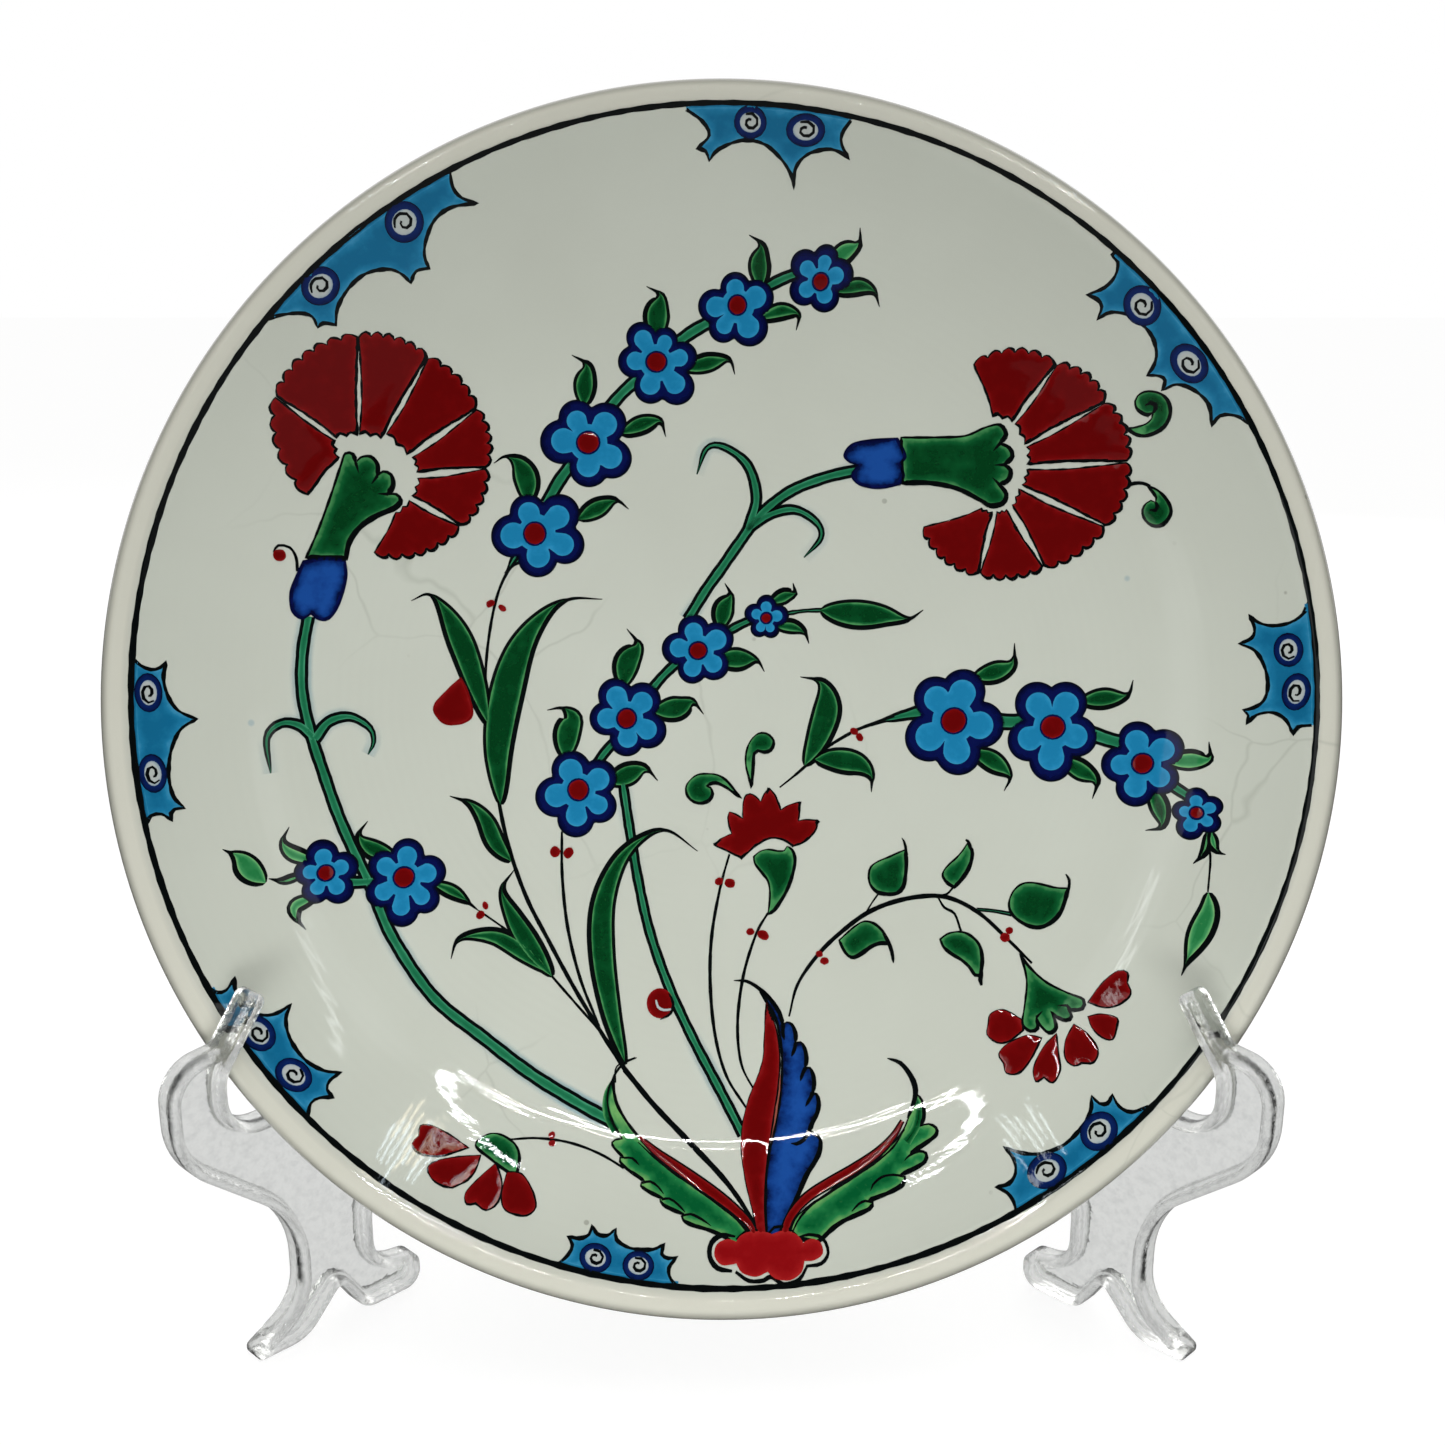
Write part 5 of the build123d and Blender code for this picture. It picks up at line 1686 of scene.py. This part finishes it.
studio = {
    "cameraPlace": (0.00024, -0.45514, 0.29062),
    "cameraTilt": 73.0,
    "lens": 46.71,
    "sensorWidth": 36.0,
    "clipStart": 0.01,
    "floorSize": 6.0,
    "floorCuts": 5,
    "floorDrop": 0.0002,  # how far the floor lies below the feet
    "floorWhite": 0.74,  # share of plain white in what the camera sees of the floor
    "floorGlow": 1.17,
    "floorMirrored": 0.07,
    "floorBounce": 0.25,  # how pale the floor is for the light it throws back
    "floorPaper": 0.86,  # the same for the camera
    "floorDim": 0.03,  # and where it is mirrored
    # a bent ceiling tube, as a path on a sphere round the dish, in millimetres
    "tubePath": [
        (250, 604), (284, 566), (302, 516), (306, 464), (296, 416), (262, 380), (215, 374), (170, 385),
        (0, 374), (-170, 378), (-236, 404), (-278, 456), (-294, 530), (-276, 594), (-240, 632),
    ],
    "tubeDistance": 938,  # radius of that sphere
    "tubeHalf": 1.1,
    "tubeJag": 2.2,
    "jagShares": (0.3, 1.0),  # least and most of a jag
    "tubeStraight": 225,  # beyond this the tube breaks up into strokes
    "tubeFray": 9.0,  # half the length of a stroke
    "tubeOverlap": 12,  # strokes begin this far inside the whole tube
    "strokeGrow": 70,  # and reach their full length over this distance
    "strokeLeast": 0.25,  # from this share of it
    "strokeLengths": (0.6, 1.0),
    "strokeLean": 1.5,
    "strokeShare": 0.8,  # their width and glow against the tube's
    "tubeGlow": 180.0,
    "tubeTint": (1.0, 0.99, 0.97),
    "strokeTint": (0.92, 0.97, 1.0),
    # place, strips, half width, glow and tint of the shimmering patches
    "shimmers": [
        ((400, 600), 9, 1.4, 8.0, (0.75, 0.9, 1.0)),
        ((382, 560), 6, 1.3, 7.0, (1.0, 0.85, 0.6)),
        ((-392, 560), 7, 1.3, 7.0, (0.85, 0.95, 1.0)),
    ],
    "stripGap": 9.5,
    "stripStart": (-60, 20),  # shortest and longest, outwards from the place
    "stripLength": (90, 190),
    "stripJag": 1.2,
    # path, half width and glow of the slivers of daylight at the two sides
    "slivers": [
        ([(-428, 180), (-440, 240), (-438, 300), (-452, 372)], 7.0, 3.4),
        ([(448, 236), (462, 300), (470, 380), (500, 470)], 8.0, 2.6),
    ],
    "sliverJag": 4.0,
    "sliverTint": (0.95, 1.0, 1.0),
    "sky": 0.52,
    "skyTint": (1.0, 0.995, 0.98),
    "backdropFade": (0.22, 0.62),  # how far back a direction points at no white and at full white
    "dimRoom": 0.02,  # what the glaze mirrors from behind the camera
    "throughPlastic": 0.65,  # the same room seen through the clear plastic
    "lamps": [
        # name, place, size, length, power, tint, lights the scene, shows as a reflection
        ("lowFill", (0.0, -0.46, 0.04), 0.5, 0.12, 1.45, (1.0, 1.0, 0.98), True, False),
        ("leftPanel", (-0.66, -1.06, 0.62), 0.24, 0.8, 0.24, (0.97, 1.0, 1.0), False, True),
        ("rightPanel", (0.61, -1.00, 0.80), 0.2, 0.6, 0.14, (0.97, 1.0, 1.0), False, True),
        ("backFill", (0.25, 0.95, 0.55), 0.9, 0.7, 5.0, (1.0, 0.99, 0.97), True, False),
        ("ceilingPanel", (0.0, -0.30, 1.30), 0.9, 0.5, 2.4, (1.0, 0.99, 0.97), True, False),
    ],
}


def makeFloor():
    deselectAll()
    bpy.ops.mesh.primitive_plane_add(size=studio["floorSize"], location=(0, 0, -studio["floorDrop"]))
    floor = bpy.context.object
    floor.name = "studioFloor"
    bpy.ops.object.mode_set(mode="EDIT")
    bpy.ops.mesh.select_all(action="SELECT")
    bpy.ops.mesh.subdivide(number_cuts=studio["floorCuts"])
    bpy.ops.object.mode_set(mode="OBJECT")
    finish = Finish("studioPaper")
    path = finish.node("ShaderNodeLightPath")

    def grey(key):
        return colour(*[studio[key]] * 3)

    seen = Wire(finish, path.outputs["Is Camera Ray"]) + Wire(finish, path.outputs["Is Transmission Ray"])
    seen = (seen + Wire(finish, path.outputs["Is Glossy Ray"]) * studio["floorMirrored"]).clipped()
    glow = {"Color": colour(1, 1, 1), "Strength": studio["floorGlow"]}
    white = finish.node("ShaderNodeEmission", None, glow)
    pale = finish.blend(path.outputs["Is Glossy Ray"], grey("floorBounce"), grey("floorDim"))
    pale = finish.blend(path.outputs["Is Camera Ray"], pale, grey("floorPaper"))
    paper = finish.node("ShaderNodeBsdfDiffuse", None, {"Color": pale})
    sockets = {0: seen * studio["floorWhite"], 1: paper.outputs[0], 2: white.outputs[0]}
    floor.data.materials.append(finish.surface(finish.node("ShaderNodeMixShader", None, sockets)))


def makeWorld():
    world = bpy.data.worlds.new("studioWorld")
    bpy.context.scene.world = world
    world.use_nodes = True
    tree = world.node_tree
    tree.nodes.clear()
    path = tree.nodes.new("ShaderNodeLightPath")
    direction = tree.nodes.new("ShaderNodeTexCoord")
    parts = tree.nodes.new("ShaderNodeSeparateXYZ")
    tree.links.new(direction.outputs["Generated"], parts.inputs[0])
    behind = tree.nodes.new("ShaderNodeMapRange")  # 1 towards the backdrop, 0 behind the camera
    behind.inputs["From Min"].default_value = studio["backdropFade"][0]
    behind.inputs["From Max"].default_value = studio["backdropFade"][1]
    tree.links.new(parts.outputs[1], behind.inputs["Value"])

    def larger(a, b):
        more = tree.nodes.new("ShaderNodeMath")
        more.operation = "MAXIMUM"
        tree.links.new(a, more.inputs[0])
        tree.links.new(b, more.inputs[1])
        return more.outputs[0]

    white = larger(path.outputs["Is Camera Ray"], behind.outputs[0])
    bounced = larger(path.outputs["Is Glossy Ray"], path.outputs["Is Transmission Ray"])
    seen = larger(path.outputs["Is Camera Ray"], bounced)

    def light(strength, tint=(1, 1, 1)):
        shade = tree.nodes.new("ShaderNodeBackground")
        shade.inputs[0].default_value = colour(*tint)
        shade.inputs[1].default_value = strength
        return shade.outputs[0]

    def mixed(factor, first, second):
        mix = tree.nodes.new("ShaderNodeMixShader")
        tree.links.new(factor, mix.inputs[0])
        tree.links.new(first, mix.inputs[1])
        tree.links.new(second, mix.inputs[2])
        return mix.outputs[0]

    clear = light(studio["throughPlastic"])
    front = mixed(path.outputs["Is Transmission Ray"], light(studio["dimRoom"]), clear)
    room = mixed(white, front, light(1.0))  # dim room in front, white backdrop behind
    out = tree.nodes.new("ShaderNodeOutputWorld")
    tree.links.new(mixed(seen, light(studio["sky"], studio["skyTint"]), room), out.inputs[0])


def addLamp(name, place, size, length, power, tint, lights, shows):
    lamp = bpy.data.lights.new(name, "AREA")
    lamp.shape = "RECTANGLE"
    lamp.size = size
    lamp.size_y = length
    lamp.energy = power
    lamp.color = tint
    holder = bpy.data.objects.new(name, lamp)
    bpy.context.scene.collection.objects.link(holder)
    holder.location = place
    holder.rotation_euler = (Vector(dishShape["middle"]) - Vector(place)).to_track_quat("-Z", "Y").to_euler()
    holder.visible_diffuse = lights
    holder.visible_glossy = shows
    holder.visible_transmission = lights


def glowStrips(name, lines, half, jag, glow, tint):
    # glowing ribbons that only mirror in glossy surfaces
    spots, faces = [], []
    for line in lines:
        for i, (point, side) in enumerate(zip(line, sideways(line))):
            reach = hand.uniform(*studio["jagShares"]) * jag
            if i:
                first = len(spots)
                faces.append((first - 2, first - 1, first + 1, first))
            for edge in (-half, half):
                x, y = point + side * (edge + (reach if i % 2 else -reach))
                z = sqrt(max(0.0, studio["tubeDistance"] ** 2 - x * x - y * y))
                spots.append(dishPlace @ (Vector((x, y, z)) * mm))
    mesh = bpy.data.meshes.new(name)
    mesh.from_pydata(spots, [], faces)
    finish = Finish(name)
    shader = finish.node("ShaderNodeEmission", None, {"Color": colour(*tint), "Strength": glow})
    mesh.materials.append(finish.surface(shader))
    strip = bpy.data.objects.new(name, mesh)
    bpy.context.scene.collection.objects.link(strip)
    strip.visible_camera = strip.visible_diffuse = strip.visible_transmission = strip.visible_shadow = False


def makeGlows():
    tube = curveThrough(studio["tubePath"], step=5.0)
    half, glow = studio["tubeHalf"], studio["tubeGlow"]
    middle = [point for point in tube if abs(point.x) < studio["tubeStraight"]]
    glowStrips("ceilingTube", [middle], half, studio["tubeJag"], glow, studio["tubeTint"])
    # its two ends break up into short strokes across the tube
    strokes = []
    for point, side in list(zip(tube, sideways(tube)))[::2]:
        beyond = abs(point.x) - studio["tubeStraight"] + studio["tubeOverlap"]
        if beyond >= 0:
            grown = min(1.0, studio["strokeLeast"] + beyond / studio["strokeGrow"])
            long = studio["tubeFray"] * hand.uniform(*studio["strokeLengths"]) * grown
            lean = Vector((-side.y, side.x)) * hand.uniform(-studio["strokeLean"], studio["strokeLean"])
            strokes.append([point - side * long - lean, point + side * long + lean])
    share = studio["strokeShare"]
    glowStrips("tubeStrokes", strokes, half * share, 0.0, glow * share, studio["strokeTint"])
    for number, (place, count, half, glow, tint) in enumerate(studio["shimmers"]):
        middle = Vector(place)
        outward = middle.normalized()
        across = Vector((-outward.y, outward.x)) * studio["stripGap"]
        lines = []
        for k in range(count):
            start = middle + across * (k - count / 2) + outward * hand.uniform(*studio["stripStart"])
            end = start + outward * hand.uniform(*studio["stripLength"])
            lines.append(curveThrough([tuple(start), tuple(end)], step=12))
        glowStrips("shimmer%d" % number, lines, half, studio["stripJag"], glow, tint)
    for number, (path, half, glow) in enumerate(studio["slivers"]):
        line = curveThrough(path, step=14)
        glowStrips("sliver%d" % number, [line], half, studio["sliverJag"], glow, studio["sliverTint"])


def makeCamera():
    lens = bpy.data.cameras.new("studioCamera")
    lens.sensor_width = studio["sensorWidth"]
    lens.lens = studio["lens"]
    lens.clip_start = studio["clipStart"]
    camera = bpy.data.objects.new("studioCamera", lens)
    bpy.context.scene.collection.objects.link(camera)
    camera.location = studio["cameraPlace"]
    camera.rotation_euler = (radians(studio["cameraTilt"]), 0, 0)
    bpy.context.scene.camera = camera


makeFloor()
makeWorld()
for lamp in studio["lamps"]:
    addLamp(*lamp)
makeGlows()
makeCamera()
bpy.context.scene.view_settings.view_transform = "Standard"
print("studio lit, lamps:", len(studio["lamps"]))
